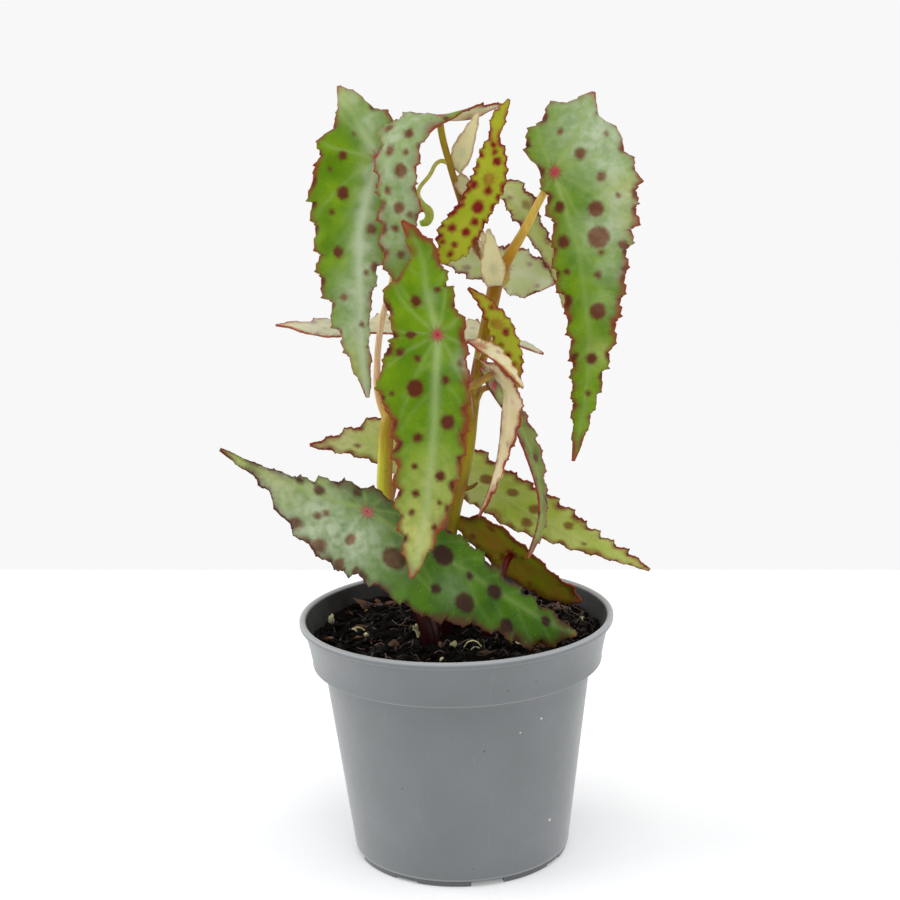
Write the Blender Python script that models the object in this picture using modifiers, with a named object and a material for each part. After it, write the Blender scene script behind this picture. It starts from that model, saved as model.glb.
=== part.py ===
"""Potted begonia: a toothed, spotted begonia on two canes in a nursery pot of soil.

Metres, +Z up. The origin is the middle of the pot's foot, on the surface that it stands on, and the front
of the plant faces -Y. Lengths below are millimetres, and MM turns them into metres.
"""

import math
import random

import bmesh
import bpy
import numpy as np
from mathutils import Vector, noise

MM = 0.001
GAP = 0.3

# Pot
POT_HEIGHT = 70.8
RIM_RADIUS = 45.0
LIP_DEPTH = 1.9
COLLAR_TOP_RADIUS = 43.7
COLLAR_BOTTOM = 57.6
COLLAR_BOTTOM_RADIUS = 41.2
BODY_TOP = 53.8
BODY_TOP_RADIUS = 37.9
BODY_BOTTOM_RADIUS = 31.3
FOOT_RADIUS = 30.7
FOOT_HEIGHT = 1.9
FOOT_WIDTH = 2.4
POT_WALL = 1.0
BASE_UNDERSIDE = 2.0
BASE_TOP = 3.2
POT_STEPS = 48
NOTCH_ANGLES = (13, 103, 193, 283)
NOTCH_WIDTH = 9.6
NOTCH_DEPTH = 1.5
RECESS_ANGLES = (58, 148, 238, 328)
RECESS_WIDTH = 7.4
RECESS_DEPTH = 0.7
HOLE_RADIUS = 3.4
HOLE_RING = 21.0

# Soil
SOIL_TOP = 64.6
SOIL_BUMP = 1.5
SOIL_BUMP_SIZE = 7.0
SOIL_SINK = 20.0

# Blades
BLADE_THICKNESS = 0.7
TOOTH_PITCH = 6.0
TOOTH_DEPTH = 1.5
TOOTH_LEAN = 0.2

# Stems: x, y and radius where each one enters the soil
MAIN_CANE_FOOT = (-3.0, 1.5, 2.4)
SECOND_CANE_FOOT = (-7.5, -9.0, 2.8)
DARK_STALK_FOOT = (9.0, -2.5, 1.3)

# Leaves. Each spine runs from the short tip to the long tip: x, y, z, half-width left, half-width right.
# "star" is the point of it where the stalk joins, or "aside" from that point towards the right; "faces" is
# where the upper side looks along the way,
# "fold" lifts the two halves towards the upper side, and "wave" is the height of the ripple in the margins.
LEAVES = {
    "leaf_upper_left": {
        "spine": (
            (-28.0, 4.0, 220.0, 0.5, 0.5),
            (-26.6, 1.0, 214.5, 2.8, 4.5),
            (-25.3, -1.5, 208.0, 10.0, 12.5),
            (-24.3, -3.5, 200.5, 11.5, 13.0),
            (-23.7, -4.5, 192.0, 14.0, 13.0),
            (-23.6, -5.0, 183.0, 13.2, 11.0),
            (-23.8, -5.0, 173.5, 12.6, 6.4),
            (-24.0, -4.5, 164.0, 10.3, 3.5),
            (-24.2, -3.5, 153.5, 7.4, 2.4),
            (-23.8, -2.5, 143.5, 3.3, 2.2),
            (-23.0, -2.0, 134.7, 0.5, 0.5),
        ),
        "star": 3,
        "aside": 6.5,
        "faces": ((0, -0.9, 0.4), (-0.1, -1, 0.1), (-0.2, -0.95, -0.15)),
        "fold": -0.2,
        "wave": 0.8,
        "seed": 11,
    },
    "leaf_top_middle": {
        "spine": (
            (16.2, 4.0, 213.7, 0.5, 0.5),
            (10.9, -1.0, 213.2, 4.0, 3.6),
            (5.2, -4.0, 212.4, 4.6, 4.6),
            (-0.7, -7.0, 211.8, 6.0, 4.5),
            (-4.5, -10.0, 211.3, 6.0, 5.0),
            (-9.1, -13.0, 207.6, 8.0, 5.0),
            (-11.6, -14.0, 202.3, 7.6, 6.0),
            (-12.3, -14.5, 195.7, 6.8, 5.0),
            (-12.6, -14.5, 187.0, 6.0, 6.6),
            (-12.8, -14.0, 181.9, 5.5, 3.6),
            (-13.1, -13.5, 173.8, 4.2, 3.8),
            (-13.1, -13.0, 166.1, 0.5, 0.5),
        ),
        "star": 3,
        "faces": (
            (-0.1, 0.45, 0.9),
            (-0.1, 0.45, 0.9),
            (-0.1, 0.35, 0.95),
            (-0.15, -0.35, 0.9),
            (-0.2, -0.75, 0.65),
            (-0.3, -0.9, 0.35),
            (-0.3, -0.95, 0.1),
            (-0.2, -1, 0),
            (-0.15, -1, 0),
            (-0.1, -1, 0),
            (-0.1, -1, -0.1),
        ),
        "fold": -0.12,
        "wave": 0.7,
        "seed": 12,
    },
    "leaf_front": {
        "spine": (
            (-11.5, -20, 185.5, 0.5, 0.5),
            (-9.0, -22, 177.0, 3.5, 5.5),
            (-6.0, -24, 168.0, 9.5, 6.5),
            (-3.0, -27, 156.0, 12.5, 8.0),
            (-3.7, -31, 145.0, 15.0, 9.3),
            (-4.5, -35, 132.5, 11.5, 9.0),
            (-6.0, -39, 120.0, 9.5, 7.5),
            (-8.0, -42.5, 107.5, 6.8, 4.7),
            (-11.6, -46, 95.0, 0.5, 0.5),
        ),
        "star": 3,
        "faces": ((0, -1, 0.2), (0, -0.97, 0.25), (0, -0.95, 0.3), (0, -0.95, 0.3)),
        "fold": -0.15,
        "wave": 0.9,
        "seed": 13,
    },
    "leaf_right": {
        "spine": (
            (41.0, 0.0, 216.7, 0.5, 0.5),
            (39.6, -2.5, 211.5, 9.0, 2.5),
            (38.0, -5.0, 206.0, 14.5, 11.0),
            (36.6, -7.5, 200.3, 15.5, 15.0),
            (35.8, -8.5, 195.5, 11.5, 17.0),
            (35.2, -9.0, 189.0, 8.8, 17.0),
            (35.2, -9.0, 181.0, 7.2, 17.0),
            (36.2, -9.0, 172.0, 7.4, 13.0),
            (37.0, -8.7, 165.5, 7.4, 12.0),
            (37.7, -8.0, 159.0, 5.6, 10.0),
            (38.5, -7.0, 153.0, 6.2, 8.0),
            (38.6, -4.0, 141.0, 5.3, 5.0),
            (36.7, -1.0, 126.5, 2.7, 2.7),
            (34.3, 2.0, 114.0, 0.5, 0.5),
        ),
        "star": 4,
        "aside": -6.2,
        "faces": (
            (0, -0.9, 0.45),
            (-0.1, -0.97, 0.2),
            (-0.05, -1, 0),
            (0, -1, -0.15),
            (0.1, -0.97, -0.2),
            (0.2, -0.95, -0.25),
        ),
        "fold": -0.22,
        "wave": 0.8,
        "seed": 14,
    },
    "leaf_young_top": {
        "spine": (
            (17.7, -10.0, 215.8, 0.4, 0.4),
            (14.8, -12.0, 210.6, 2.1, 1.9),
            (13.4, -13.0, 206.0, 1.6, 1.6),
            (13.2, -13.5, 203.0, 3.4, 3.2),
            (12.8, -14.0, 199.5, 4.2, 4.0),
            (12.0, -15.0, 195.5, 5.0, 4.6),
            (10.4, -15.0, 191.5, 5.2, 4.4),
            (8.2, -14.5, 187.0, 5.3, 4.0),
            (5.0, -14.0, 182.0, 6.2, 4.4),
            (2.0, -14.0, 177.5, 5.6, 4.0),
            (-1.6, -14.0, 173.0, 0.4, 0.4),
        ),
        "star": 5,
        "faces": ((0.1, -0.95, 0.25), (0, -1, 0.1), (0, -1, -0.05), (0, -1, 0)),
        "fold": 0.1,
        "wave": 0.5,
        "pitch": 3.6,
        "tooth": 1.0,
        "seed": 15,
    },
    "leaf_low_front": {
        "spine": (
            (-60.3, -40, 129.5, 0.5, 0.5),
            (-49.6, -39, 123.0, 3.5, 1.8),
            (-37.5, -37, 116.5, 12.5, 4.6),
            (-23.0, -34, 110.0, 18.5, 7.6),
            (-11.8, -34, 102.0, 17.0, 9.0),
            (-1.3, -33, 95.5, 17.0, 8.8),
            (10.6, -31, 86.5, 12.0, 6.3),
            (22.7, -28, 77.5, 8.8, 4.0),
            (33.0, -24, 71.0, 0.5, 0.5),
        ),
        "star": 3,
        "faces": ((0.45, -0.65, 0.6), (0.43, -0.73, 0.53), (0.45, -0.73, 0.5), (0.5, -0.75, 0.4)),
        "fold": -0.12,
        "wave": 0.9,
        "seed": 16,
    },
    "leaf_low_back": {
        "spine": (
            (-41.2, 17, 117.3, 0.5, 0.5),
            (-31.2, 17, 117.8, 4.0, 4.4),
            (-21.2, 17, 116.8, 12.0, 7.0),
            (-12.8, 18, 114.3, 14.0, 9.0),
            (-3.6, 22, 109.0, 12.5, 8.2),
            (8.0, 27, 101.5, 11.0, 7.6),
            (21.6, 32, 91.8, 10.0, 7.4),
            (37.0, 37, 81.5, 7.2, 4.6),
            (49.3, 40, 75.0, 4.0, 2.2),
            (60.2, 43, 69.0, 0.5, 0.5),
        ),
        "star": 3,
        "faces": ((0, 0.87, 0.5), (-0.05, 0.87, 0.5), (-0.05, 0.9, 0.4)),
        "fold": -0.08,
        "wave": 0.8,
        "seed": 17,
    },
    "leaf_back_right": {
        "spine": (
            (9.5, 5.0, 190.0, 0.5, 0.5),
            (13.6, 6.5, 191.0, 2.8, 2.6),
            (17.5, 8.0, 189.5, 4.4, 3.0),
            (20.7, 9.0, 186.0, 4.8, 4.2),
            (23.3, 10.0, 181.5, 3.4, 3.6),
            (25.8, 11.0, 176.0, 3.4, 2.4),
            (29.8, 12.0, 169.5, 3.0, 2.0),
            (33.0, 13.0, 160.5, 3.0, 1.8),
            (35.5, 14.0, 152.5, 2.0, 1.4),
            (37.5, 14.5, 146.0, 0.4, 0.4),
        ),
        "star": 1,
        "faces": ((0.1, 0.97, 0.2), (0.2, 0.96, 0.17)),
        "fold": 0.15,
        "wave": 0.6,
        "pitch": 5.0,
        "seed": 18,
    },
    "leaf_back_middle": {
        "spine": (
            (-3.0, 15.0, 171.6, 0.5, 0.5),
            (6.0, 15.0, 169.7, 5.0, 5.5),
            (16.6, 17.0, 167.4, 7.5, 7.2),
            (23.0, 19.5, 165.3, 6.5, 9.0),
            (27.5, 21.5, 163.0, 5.0, 6.0),
            (31.0, 25.0, 161.3, 0.5, 0.5),
        ),
        "star": 2,
        "faces": ((0, 0.87, 0.48), (-0.1, 0.87, 0.48)),
        "fold": 0.1,
        "wave": 0.6,
        "pitch": 4.5,
        "seed": 19,
    },
    "leaf_young_low": {
        "spine": (
            (5.6, -11, 165.9, 0.4, 0.4),
            (9.6, -12, 162.1, 1.7, 1.8),
            (13.5, -13, 156.1, 3.3, 3.5),
            (16.0, -13, 150.1, 3.8, 3.4),
            (17.4, -12, 143.6, 3.2, 2.7),
            (18.7, -11, 138.1, 0.4, 0.4),
        ),
        "star": 2,
        "faces": ((-0.08, -1, 0.14), (0, -1, 0), (0.06, -1, -0.15)),
        "fold": -0.2,
        "wave": 0.4,
        "pitch": 3.8,
        "tooth": 0.9,
        "seed": 20,
    },
    "leaf_back_left": {
        "spine": (
            (-49.2, 14, 153.2, 0.4, 0.4),
            (-36.0, 14, 152.2, 5.5, 5.0),
            (-21.7, 14, 152.0, 9.0, 9.0),
            (-6.7, 14, 151.3, 9.0, 9.0),
            (8.4, 14, 149.4, 7.6, 8.0),
            (18.8, 14, 146.5, 4.0, 4.0),
            (27.0, 14, 142.8, 0.4, 0.4),
        ),
        "star": 3,
        "faces": ((0, -0.18, 1), (0, -0.22, 0.97), (0.2, -0.22, 0.95)),
        "fold": 0.08,
        "wave": 1.2,
        "seed": 21,
    },
    "leaf_folded_small": {
        "spine": (
            (5.2, -16, 152.1, 0.4, 0.4),
            (8.5, -17, 150.8, 2.8, 3.2),
            (12.8, -18, 148.1, 3.0, 3.0),
            (16.5, -18, 143.9, 2.2, 2.2),
            (19.7, -17, 139.1, 0.4, 0.4),
        ),
        "star": 1,
        "faces": ((0.33, -0.44, 0.83), (0.53, -0.5, 0.68), (0.7, -0.53, 0.48)),
        "fold": 0.2,
        "wave": 0.3,
        "pitch": 3.4,
        "tooth": 0.6,
        "seed": 22,
    },
    "leaf_folded_left": {
        "spine": (
            (8.0, -10.0, 146.4, 0.5, 0.5),
            (11.9, -11.0, 142.6, 4.0, 4.2),
            (15.9, -11.5, 136.1, 5.4, 5.6),
            (15.5, -11.5, 127.4, 5.0, 5.3),
            (13.9, -11.0, 119.0, 2.8, 4.0),
            (10.7, -11.0, 109.8, 1.8, 1.9),
            (7.0, -10.0, 101.5, 0.4, 0.4),
        ),
        "star": 1,
        "faces": ((0.8, 0.36, 0.5), (0.9, 0.4, 0.1), (0.9, 0.4, -0.2), (0.87, 0.4, -0.3)),
        "fold": 0.25,
        "wave": 0.5,
        "pitch": 5.0,
        "tooth": 1.1,
        "seed": 23,
    },
    "leaf_folded_right": {
        "spine": (
            (8.2, -5.0, 142.8, 0.5, 0.5),
            (11.9, -2.5, 137.0, 3.6, 3.6),
            (17.2, 2.0, 128.0, 4.6, 4.8),
            (22.0, 2.5, 117.4, 4.6, 4.8),
            (24.6, 0.0, 106.6, 3.4, 3.8),
            (24.2, -5.0, 97.8, 2.6, 2.8),
            (20.2, -11.0, 89.3, 0.4, 0.4),
        ),
        "star": 1,
        "faces": ((0.8, -0.44, 0.4), (0.85, -0.42, 0.3), (0.88, -0.45, 0.1), (0.85, -0.5, -0.1)),
        "fold": 0.25,
        "wave": 0.5,
        "pitch": 5.0,
        "tooth": 1.1,
        "seed": 24,
    },
    "leaf_low_dark": {
        "spine": (
            (-2.0, 10.0, 96.5, 0.5, 0.5),
            (3.5, 6.0, 95.5, 2.8, 4.5),
            (9.0, 2.5, 93.0, 7.8, 6.5),
            (16.4, 0.5, 87.7, 8.3, 8.3),
            (25.7, 0.0, 79.8, 7.2, 6.3),
            (35.0, 0.0, 73.4, 3.0, 2.5),
            (40.5, 0.0, 69.9, 0.4, 0.4),
        ),
        "star": 3,
        "faces": ((0.3, 0.8, 0.5), (0.37, 0.77, 0.5), (0.35, 0.8, 0.48)),
        "fold": -0.25,
        "wave": 0.7,
        "pitch": 5.0,
        "seed": 25,
    },
}

# Stem paths: x, y, z, radius
MAIN_CANE = (
    (-2.8, 1.6, 76.0, 2.3),
    (-2.2, 1.8, 87.0, 2.2),
    (-0.5, 2.0, 98.0, 2.2),
    (4.2, 2.0, 117.0, 2.1),
    (6.3, 1.8, 132.0, 2.0),
    (10.0, 1.5, 150.0, 2.0),
    (12.8, 1.2, 162.5, 2.1),
    (13.8, 1.0, 168.0, 2.4),
)
SECOND_CANE = (
    (-10.0, -6.8, 75.0, 2.7),
    (-14.5, -2.0, 86.5, 2.5),
    (-18.2, 2.4, 97.5, 2.3),
    (-19.4, 4.0, 106.0, 2.3),
    (-19.0, 4.0, 115.0, 2.2),
    (-18.2, 4.0, 124.0, 2.2),
    (-17.0, 4.0, 129.0, 2.3),
)
# Each stalk starts inside its cane and ends just under its leaf's star.
MAIN_CANE_STALKS = {
    "leaf_top_middle": (
        (13.6, 1.0, 167.0, 1.9),
        (10.3, 0.3, 172.5, 1.3),
        (7.9, 0.0, 176.5, 1.2),
        (4.6, -2.0, 188.0, 1.1),
        (1.6, -4.0, 198.5, 1.0),
    ),
    "leaf_right": (
        (13.6, 1.0, 166.0, 1.9),
        (16.8, 0.4, 172.0, 1.6),
        (21.5, -1.0, 180.0, 1.3),
        (26.5, -3.0, 189.5, 1.1),
    ),
    "leaf_front": (
        (5.4, 1.8, 126.0, 1.3),
        (4.4, -6.0, 137.0, 1.2),
        (1.0, -15.0, 149.0, 1.1),
    ),
    "leaf_young_top": (
        (5.2, -1.6, 186.0, 0.9),
        (8.5, -7.0, 191.5, 0.8),
    ),
    "leaf_young_low": (
        (12.4, 1.2, 160.0, 1.0),
        (13.4, -5.0, 157.0, 0.8),
    ),
    "leaf_folded_small": (
        (9.8, 1.5, 149.0, 1.0),
        (8.8, -6.0, 148.4, 0.8),
    ),
    "leaf_folded_left": (
        (6.2, 1.8, 131.0, 1.1),
        (2.5, -6.0, 136.0, 1.0),
    ),
    "leaf_folded_right": (
        (6.2, 1.8, 130.0, 1.1),
        (7.6, 0.6, 133.0, 0.9),
    ),
    "leaf_back_middle": (
        (13.6, 1.0, 166.5, 1.4),
        (15.2, 7.0, 164.0, 1.0),
    ),
    "leaf_back_right": (
        (5.6, -1.5, 184.5, 0.9),
        (9.5, 0.5, 187.5, 0.8),
    ),
}
SECOND_CANE_STALKS = {
    "leaf_upper_left": (
        (-17.6, 4.0, 126.5, 1.6),
        (-20.4, 3.8, 134.0, 1.3),
        (-20.9, 3.4, 142.7, 1.2),
        (-19.3, 2.4, 155.8, 1.1),
        (-15.4, 1.4, 168.3, 1.1),
        (-14.0, 1.6, 182.0, 1.0),
    ),
    "leaf_back_left": (
        (-17.4, 4.0, 127.5, 1.4),
        (-13.0, 7.0, 138.0, 1.1),
        (-8.5, 12.0, 146.0, 1.0),
    ),
    "leaf_low_back": (
        (-18.8, 3.2, 101.0, 1.4),
        (-16.5, 9.5, 107.5, 1.1),
    ),
    "leaf_low_front": (
        (-11.0, -5.8, 78.0, 1.6),
        (-13.5, -13.0, 88.0, 1.4),
        (-18.5, -23.0, 100.0, 1.2),
    ),
}
DARK_STALK = ((9.6, -2.8, 74.0, 1.2), (12.4, -4.2, 81.0, 1.1))
# A thin stalk off the shoot that ends in a curled new leaf, and the stub of a lost leaf
BUD_STALK = (
    (1.4, -4.1, 199.0, 0.7),
    (-1.2, -5.0, 199.6, 0.6),
    (-4.0, -6.2, 196.0, 0.6),
    (-7.2, -7.2, 191.5, 0.6),
    (-6.4, -7.4, 188.4, 1.2),
    (-4.4, -7.4, 186.2, 1.3),
    (-5.0, -7.4, 183.8, 1.2),
    (-7.0, -7.4, 183.2, 0.8),
)
STUB = ((2.6, 2.0, 106.4, 0.8), (5.4, 1.0, 107.4, 0.6), (7.2, 0.2, 108.9, 0.4))
# Papery stipules at the nodes: root, tip, widest half-width, and where the inner side looks
STIPULES = (
    ((3.2, -3.4, 197.0), (9.7, -11.0, 212.8), 3.3, (-0.4, -0.8, 0.2)),
    ((3.6, -2.8, 195.5), (8.6, -5.0, 186.5), 2.4, (0.3, -0.9, 0.1)),
    ((12.8, 0.6, 166.5), (11.9, -5.5, 181.0), 3.4, (0, -0.95, -0.3)),
    ((11.5, 0.4, 171.0), (8.8, -4.0, 178.5), 1.3, (-0.3, -0.9, -0.2)),
    ((13.8, 1.6, 168.0), (9.2, 4.0, 181.0), 2.2, (0.5, 0.8, 0.1)),
)


def material(name, colour, roughness):
    made = bpy.data.materials.new(name)
    made.use_nodes = True
    shader = made.node_tree.nodes["Principled BSDF"]
    shader.inputs["Base Color"].default_value = (*colour, 1.0)
    shader.inputs["Roughness"].default_value = roughness
    made.diffuse_color = (*colour, 1.0)
    return made


def collection(name, hidden=False):
    made = bpy.data.collections.new(name)
    bpy.context.scene.collection.children.link(made)
    made.hide_render = hidden
    return made


def mesh_object(name, mesh, home):
    obj = bpy.data.objects.new(name, mesh)
    home.objects.link(obj)
    return obj


def made_mesh(obj):
    """Replaces an object's mesh or curve by the mesh that its modifiers give, in world space."""
    bpy.context.view_layer.update()
    evaluated = obj.evaluated_get(bpy.context.evaluated_depsgraph_get())
    mesh = bpy.data.meshes.new_from_object(evaluated)
    mesh.transform(obj.matrix_world)
    work = bmesh.new()
    work.from_mesh(mesh)
    bmesh.ops.remove_doubles(work, verts=work.verts, dist=1e-6)
    work.to_mesh(mesh)
    work.free()
    made = mesh_object(obj.name + "_mesh", mesh, obj.users_collection[0])
    name = obj.name
    bpy.data.objects.remove(obj)
    made.name = name
    return made


def turned(name, profile, steps, home):
    """A profile of (radius, height) points in millimetres, turned about the Z axis."""
    mesh = bpy.data.meshes.new(name)
    points = [(radius * MM, 0.0, height * MM) for radius, height in profile]
    mesh.from_pydata(points, [(i, i + 1) for i in range(len(points) - 1)], [])
    obj = mesh_object(name, mesh, home)
    screw = obj.modifiers.new("turn", "SCREW")
    screw.steps = screw.render_steps = steps
    screw.use_merge_vertices = True
    screw.merge_threshold = 1e-6
    return obj


def smooth_round(mesh):
    mesh.shade_smooth()
    mesh.set_sharp_from_angle(angle=math.radians(40))


def cut(obj, cutters):
    """Takes the cutters' collection out of the object."""
    modifier = obj.modifiers.new("cut", "BOOLEAN")
    modifier.operation = "DIFFERENCE"
    modifier.operand_type = "COLLECTION"
    modifier.collection = cutters
    made = made_mesh(obj)
    for cutter in cutters.objects:
        cutter.hide_render = True
        cutter.display_type = "WIRE"
    return made


def around(angle, radius):
    """The place at this angle from the front, turning towards +X."""
    turn = math.radians(angle)
    return radius * math.sin(turn), -radius * math.cos(turn)


def inner_wall(inset=0.0):
    """The pot's inside from the base to the lip, as (radius, height); inset moves it in towards the axis."""
    return (
        (BODY_BOTTOM_RADIUS - POT_WALL - inset, BASE_TOP + inset),
        (BODY_TOP_RADIUS - POT_WALL - inset, BODY_TOP + 0.6),
        (BODY_TOP_RADIUS - POT_WALL + 0.7 - inset, COLLAR_BOTTOM - 1.4 + inset),
        (COLLAR_BOTTOM_RADIUS - POT_WALL - inset, COLLAR_BOTTOM + 0.6 + inset),
        (COLLAR_TOP_RADIUS - POT_WALL - inset, POT_HEIGHT - LIP_DEPTH),
    )


def make_pot(home):
    collar_top = POT_HEIGHT - LIP_DEPTH
    profile = (
        (0, BASE_TOP),
        *inner_wall(),
        (RIM_RADIUS - 1.6, POT_HEIGHT - 0.5),
        (RIM_RADIUS - 1.2, POT_HEIGHT),
        (RIM_RADIUS - 0.4, POT_HEIGHT),
        (RIM_RADIUS, POT_HEIGHT - 0.4),
        (RIM_RADIUS, collar_top + 0.4),
        (RIM_RADIUS - 0.4, collar_top),
        (COLLAR_TOP_RADIUS, collar_top - 0.3),
        (COLLAR_BOTTOM_RADIUS, COLLAR_BOTTOM + 0.3),
        (COLLAR_BOTTOM_RADIUS - 0.4, COLLAR_BOTTOM - 0.4),
        (BODY_TOP_RADIUS + 0.7, COLLAR_BOTTOM - 2.2),
        (BODY_TOP_RADIUS, BODY_TOP),
        (BODY_BOTTOM_RADIUS, FOOT_HEIGHT + 0.3),
        (FOOT_RADIUS, FOOT_HEIGHT),
        (FOOT_RADIUS, 0),
        (FOOT_RADIUS - FOOT_WIDTH, 0),
        (FOOT_RADIUS - FOOT_WIDTH - 0.4, BASE_UNDERSIDE),
        (0, BASE_UNDERSIDE),
    )
    pot = turned("pot", profile, POT_STEPS, home)
    cutters = collection("pot cutters", hidden=True)
    slots = [(angle, NOTCH_WIDTH, NOTCH_DEPTH) for angle in NOTCH_ANGLES]
    slots += [(angle, RECESS_WIDTH, RECESS_DEPTH) for angle in RECESS_ANGLES]
    for angle, width, depth in slots:
        work = bmesh.new()
        bmesh.ops.create_cube(work, size=1.0)
        x, y = around(angle, FOOT_RADIUS - FOOT_WIDTH / 2)
        mesh = bpy.data.meshes.new("notch")
        work.to_mesh(mesh)
        work.free()
        notch = mesh_object("notch", mesh, cutters)
        notch.scale = (width * MM, 3 * FOOT_WIDTH * MM, 2 * depth * MM)
        notch.rotation_euler.z = math.radians(angle)
        notch.location = (x * MM, y * MM, 0)
    for angle in (*NOTCH_ANGLES, None):
        work = bmesh.new()
        bmesh.ops.create_cone(
            work,
            cap_ends=True,
            segments=16,
            radius1=HOLE_RADIUS * MM,
            radius2=HOLE_RADIUS * MM,
            depth=4 * MM,
        )
        mesh = bpy.data.meshes.new("drain")
        work.to_mesh(mesh)
        work.free()
        drain = mesh_object("drain", mesh, cutters)
        x, y = (0, 0) if angle is None else around(angle, HOLE_RING)
        drain.location = (x * MM, y * MM, (BASE_UNDERSIDE + BASE_TOP) / 2 * MM)
    bpy.context.view_layer.update()
    pot = cut(pot, cutters)
    smooth_round(pot.data)
    pot.data.materials.append(material("grey moulded plastic", (0.21, 0.23, 0.24), 0.5))
    return pot


def soil_rise(x, y):
    """How far the soil's surface stands above its mean level, in millimetres: a few broad lumps."""
    place = Vector((x, y, 3.0)) / SOIL_BUMP_SIZE
    tilt = 0.012 * x + 0.012 * y
    return SOIL_BUMP * noise.noise(place) + tilt


def make_soil(home):
    base, body, step, collar, top = inner_wall(GAP)
    share = (SOIL_TOP - collar[1]) / (top[1] - collar[1])
    edge = collar[0] + share * (top[0] - collar[0])
    profile = [(edge * part, SOIL_TOP) for part in (0, 0.14, 0.3, 0.45, 0.6, 0.75, 0.88)]
    profile += [(edge - 0.2, SOIL_TOP - 0.8), collar, step, body, base, (0, base[1])]
    soil = made_mesh(turned("soil", profile, POT_STEPS, home))
    for vertex in soil.data.vertices:
        if vertex.co.z > (SOIL_TOP - 0.1) * MM:
            vertex.co.z += soil_rise(vertex.co.x / MM, vertex.co.y / MM) * MM
    cutters = collection("soil cutters", hidden=True)
    for x, y, radius in (MAIN_CANE_FOOT, SECOND_CANE_FOOT, DARK_STALK_FOOT):
        work = bmesh.new()
        hole = (radius + 1.3 * GAP) * MM
        bmesh.ops.create_cone(
            work, cap_ends=True, segments=12, radius1=hole, radius2=hole, depth=60 * MM
        )
        mesh = bpy.data.meshes.new("stem hole")
        work.to_mesh(mesh)
        work.free()
        cutter = mesh_object("stem hole", mesh, cutters)
        cutter.location = (x * MM, y * MM, (SOIL_TOP - SOIL_SINK - GAP + 30) * MM)
    bpy.context.view_layer.update()
    soil = cut(soil, cutters)
    soil.data.materials.append(material("black peat", (0.012, 0.009, 0.007), 0.9))
    return soil


def along(knots, values, place):
    """Reads a smooth curve through the values, which stand at the knots."""
    values = np.asarray(values, float)
    i = min(max(int(np.searchsorted(knots, place, side="right")) - 1, 0), len(knots) - 2)
    span = knots[i + 1] - knots[i]
    share = (place - knots[i]) / span
    first, last = max(i - 1, 0), min(i + 2, len(knots) - 1)
    slope_a = (values[i + 1] - values[first]) / (knots[i + 1] - knots[first])
    slope_b = (values[last] - values[i]) / (knots[last] - knots[i])
    square, cube = share**2, share**3
    return (
        (2 * cube - 3 * square + 1) * values[i]
        + (cube - 2 * square + share) * span * slope_a
        + (3 * square - 2 * cube) * values[i + 1]
        + (cube - square) * span * slope_b
    )


def unit(vector):
    return vector / np.linalg.norm(vector)


class Blade:
    """A leaf's middle surface, in millimetres, from its entry in LEAVES."""

    def __init__(self, entry):
        self.spine = np.array(entry["spine"], float)
        steps = np.linalg.norm(np.diff(self.spine[:, :3], axis=0), axis=1)
        self.knots = np.concatenate([[0.0], np.cumsum(steps)])
        self.length = self.knots[-1]
        self.faces = np.array(entry["faces"], float)
        self.fold = entry["fold"]
        self.wave = entry["wave"]
        self.star = self.knots[entry["star"]]
        self.aside = entry.get("aside", 0.0)
        self.tooth = entry.get("tooth", TOOTH_DEPTH)
        self.rows = 2 * round(self.length / entry.get("pitch", TOOTH_PITCH))
        draw = random.Random(entry["seed"])
        self.bite = [[draw.uniform(0.35, 1.0) for _ in range(self.rows + 1)] for _ in range(2)]
        self.shift = [draw.uniform(-0.15, 0.15) for _ in range(self.rows + 1)]
        self.phase = [draw.uniform(0, 2 * math.pi) for _ in range(2)]

    def frame(self, place):
        """The spine's point, its direction, the way across to the right, and the upper side's normal."""
        point = along(self.knots, self.spine[:, :3], place)
        ahead = along(self.knots, self.spine[:, :3], min(place + 0.5, self.length))
        behind = along(self.knots, self.spine[:, :3], max(place - 0.5, 0.0))
        forward = unit(ahead - behind)
        marks = np.linspace(0.0, self.length, len(self.faces))
        face = along(marks, self.faces, place)
        normal = unit(face - face.dot(forward) * forward)
        return point, forward, np.cross(normal, forward), normal

    def row_place(self, row):
        """How far along the spine a row of the mesh lies: a tooth is two rows, unevenly spaced."""
        inner = 0 < row < self.rows
        return self.length * (row + (self.shift[row] if inner else 0.0)) / self.rows

    def point(self, row, across):
        """A point of the surface, with across from -1 at the left margin to 1 at the right one."""
        place = self.row_place(row)
        point, forward, right, normal = self.frame(place)
        side = int(across > 0)
        width = max(float(along(self.knots, self.spine[:, 3 + side], place)), 0.35)
        edge = abs(across)
        out = width * edge
        lift = self.fold * out
        turns = 2 * math.pi * place / (4.2 * TOOTH_PITCH) + self.phase[side]
        lift += self.wave * min(width / 8, 1) * edge**2 * math.sin(turns)
        slide = 0.0
        if edge > 0.99 and 0 < row < self.rows:
            is_tip = (row + side) % 2 == 0
            bite = self.bite[side][row] * self.tooth * min(width / 6, 1)
            out += 0.3 * bite if is_tip else -0.7 * bite
            pitch = 2 * self.length / self.rows
            towards_end = min(max((place - self.star) / 8, -1), 1)
            slide = is_tip * towards_end * TOOTH_LEAN * pitch * min(width / 6, 1)
        return point + math.copysign(out, across) * right + lift * normal + slide * forward

    def stalk_end(self, radius):
        """The last two points of the stalk, which meets the blade square on from below."""
        point, _, right, normal = self.frame(self.star)
        point = point + self.aside * right + self.fold * abs(self.aside) * normal
        clear = BLADE_THICKNESS / 2 + GAP + abs(self.fold) * radius
        return point - normal * (clear + 2.6), point - normal * clear


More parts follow.
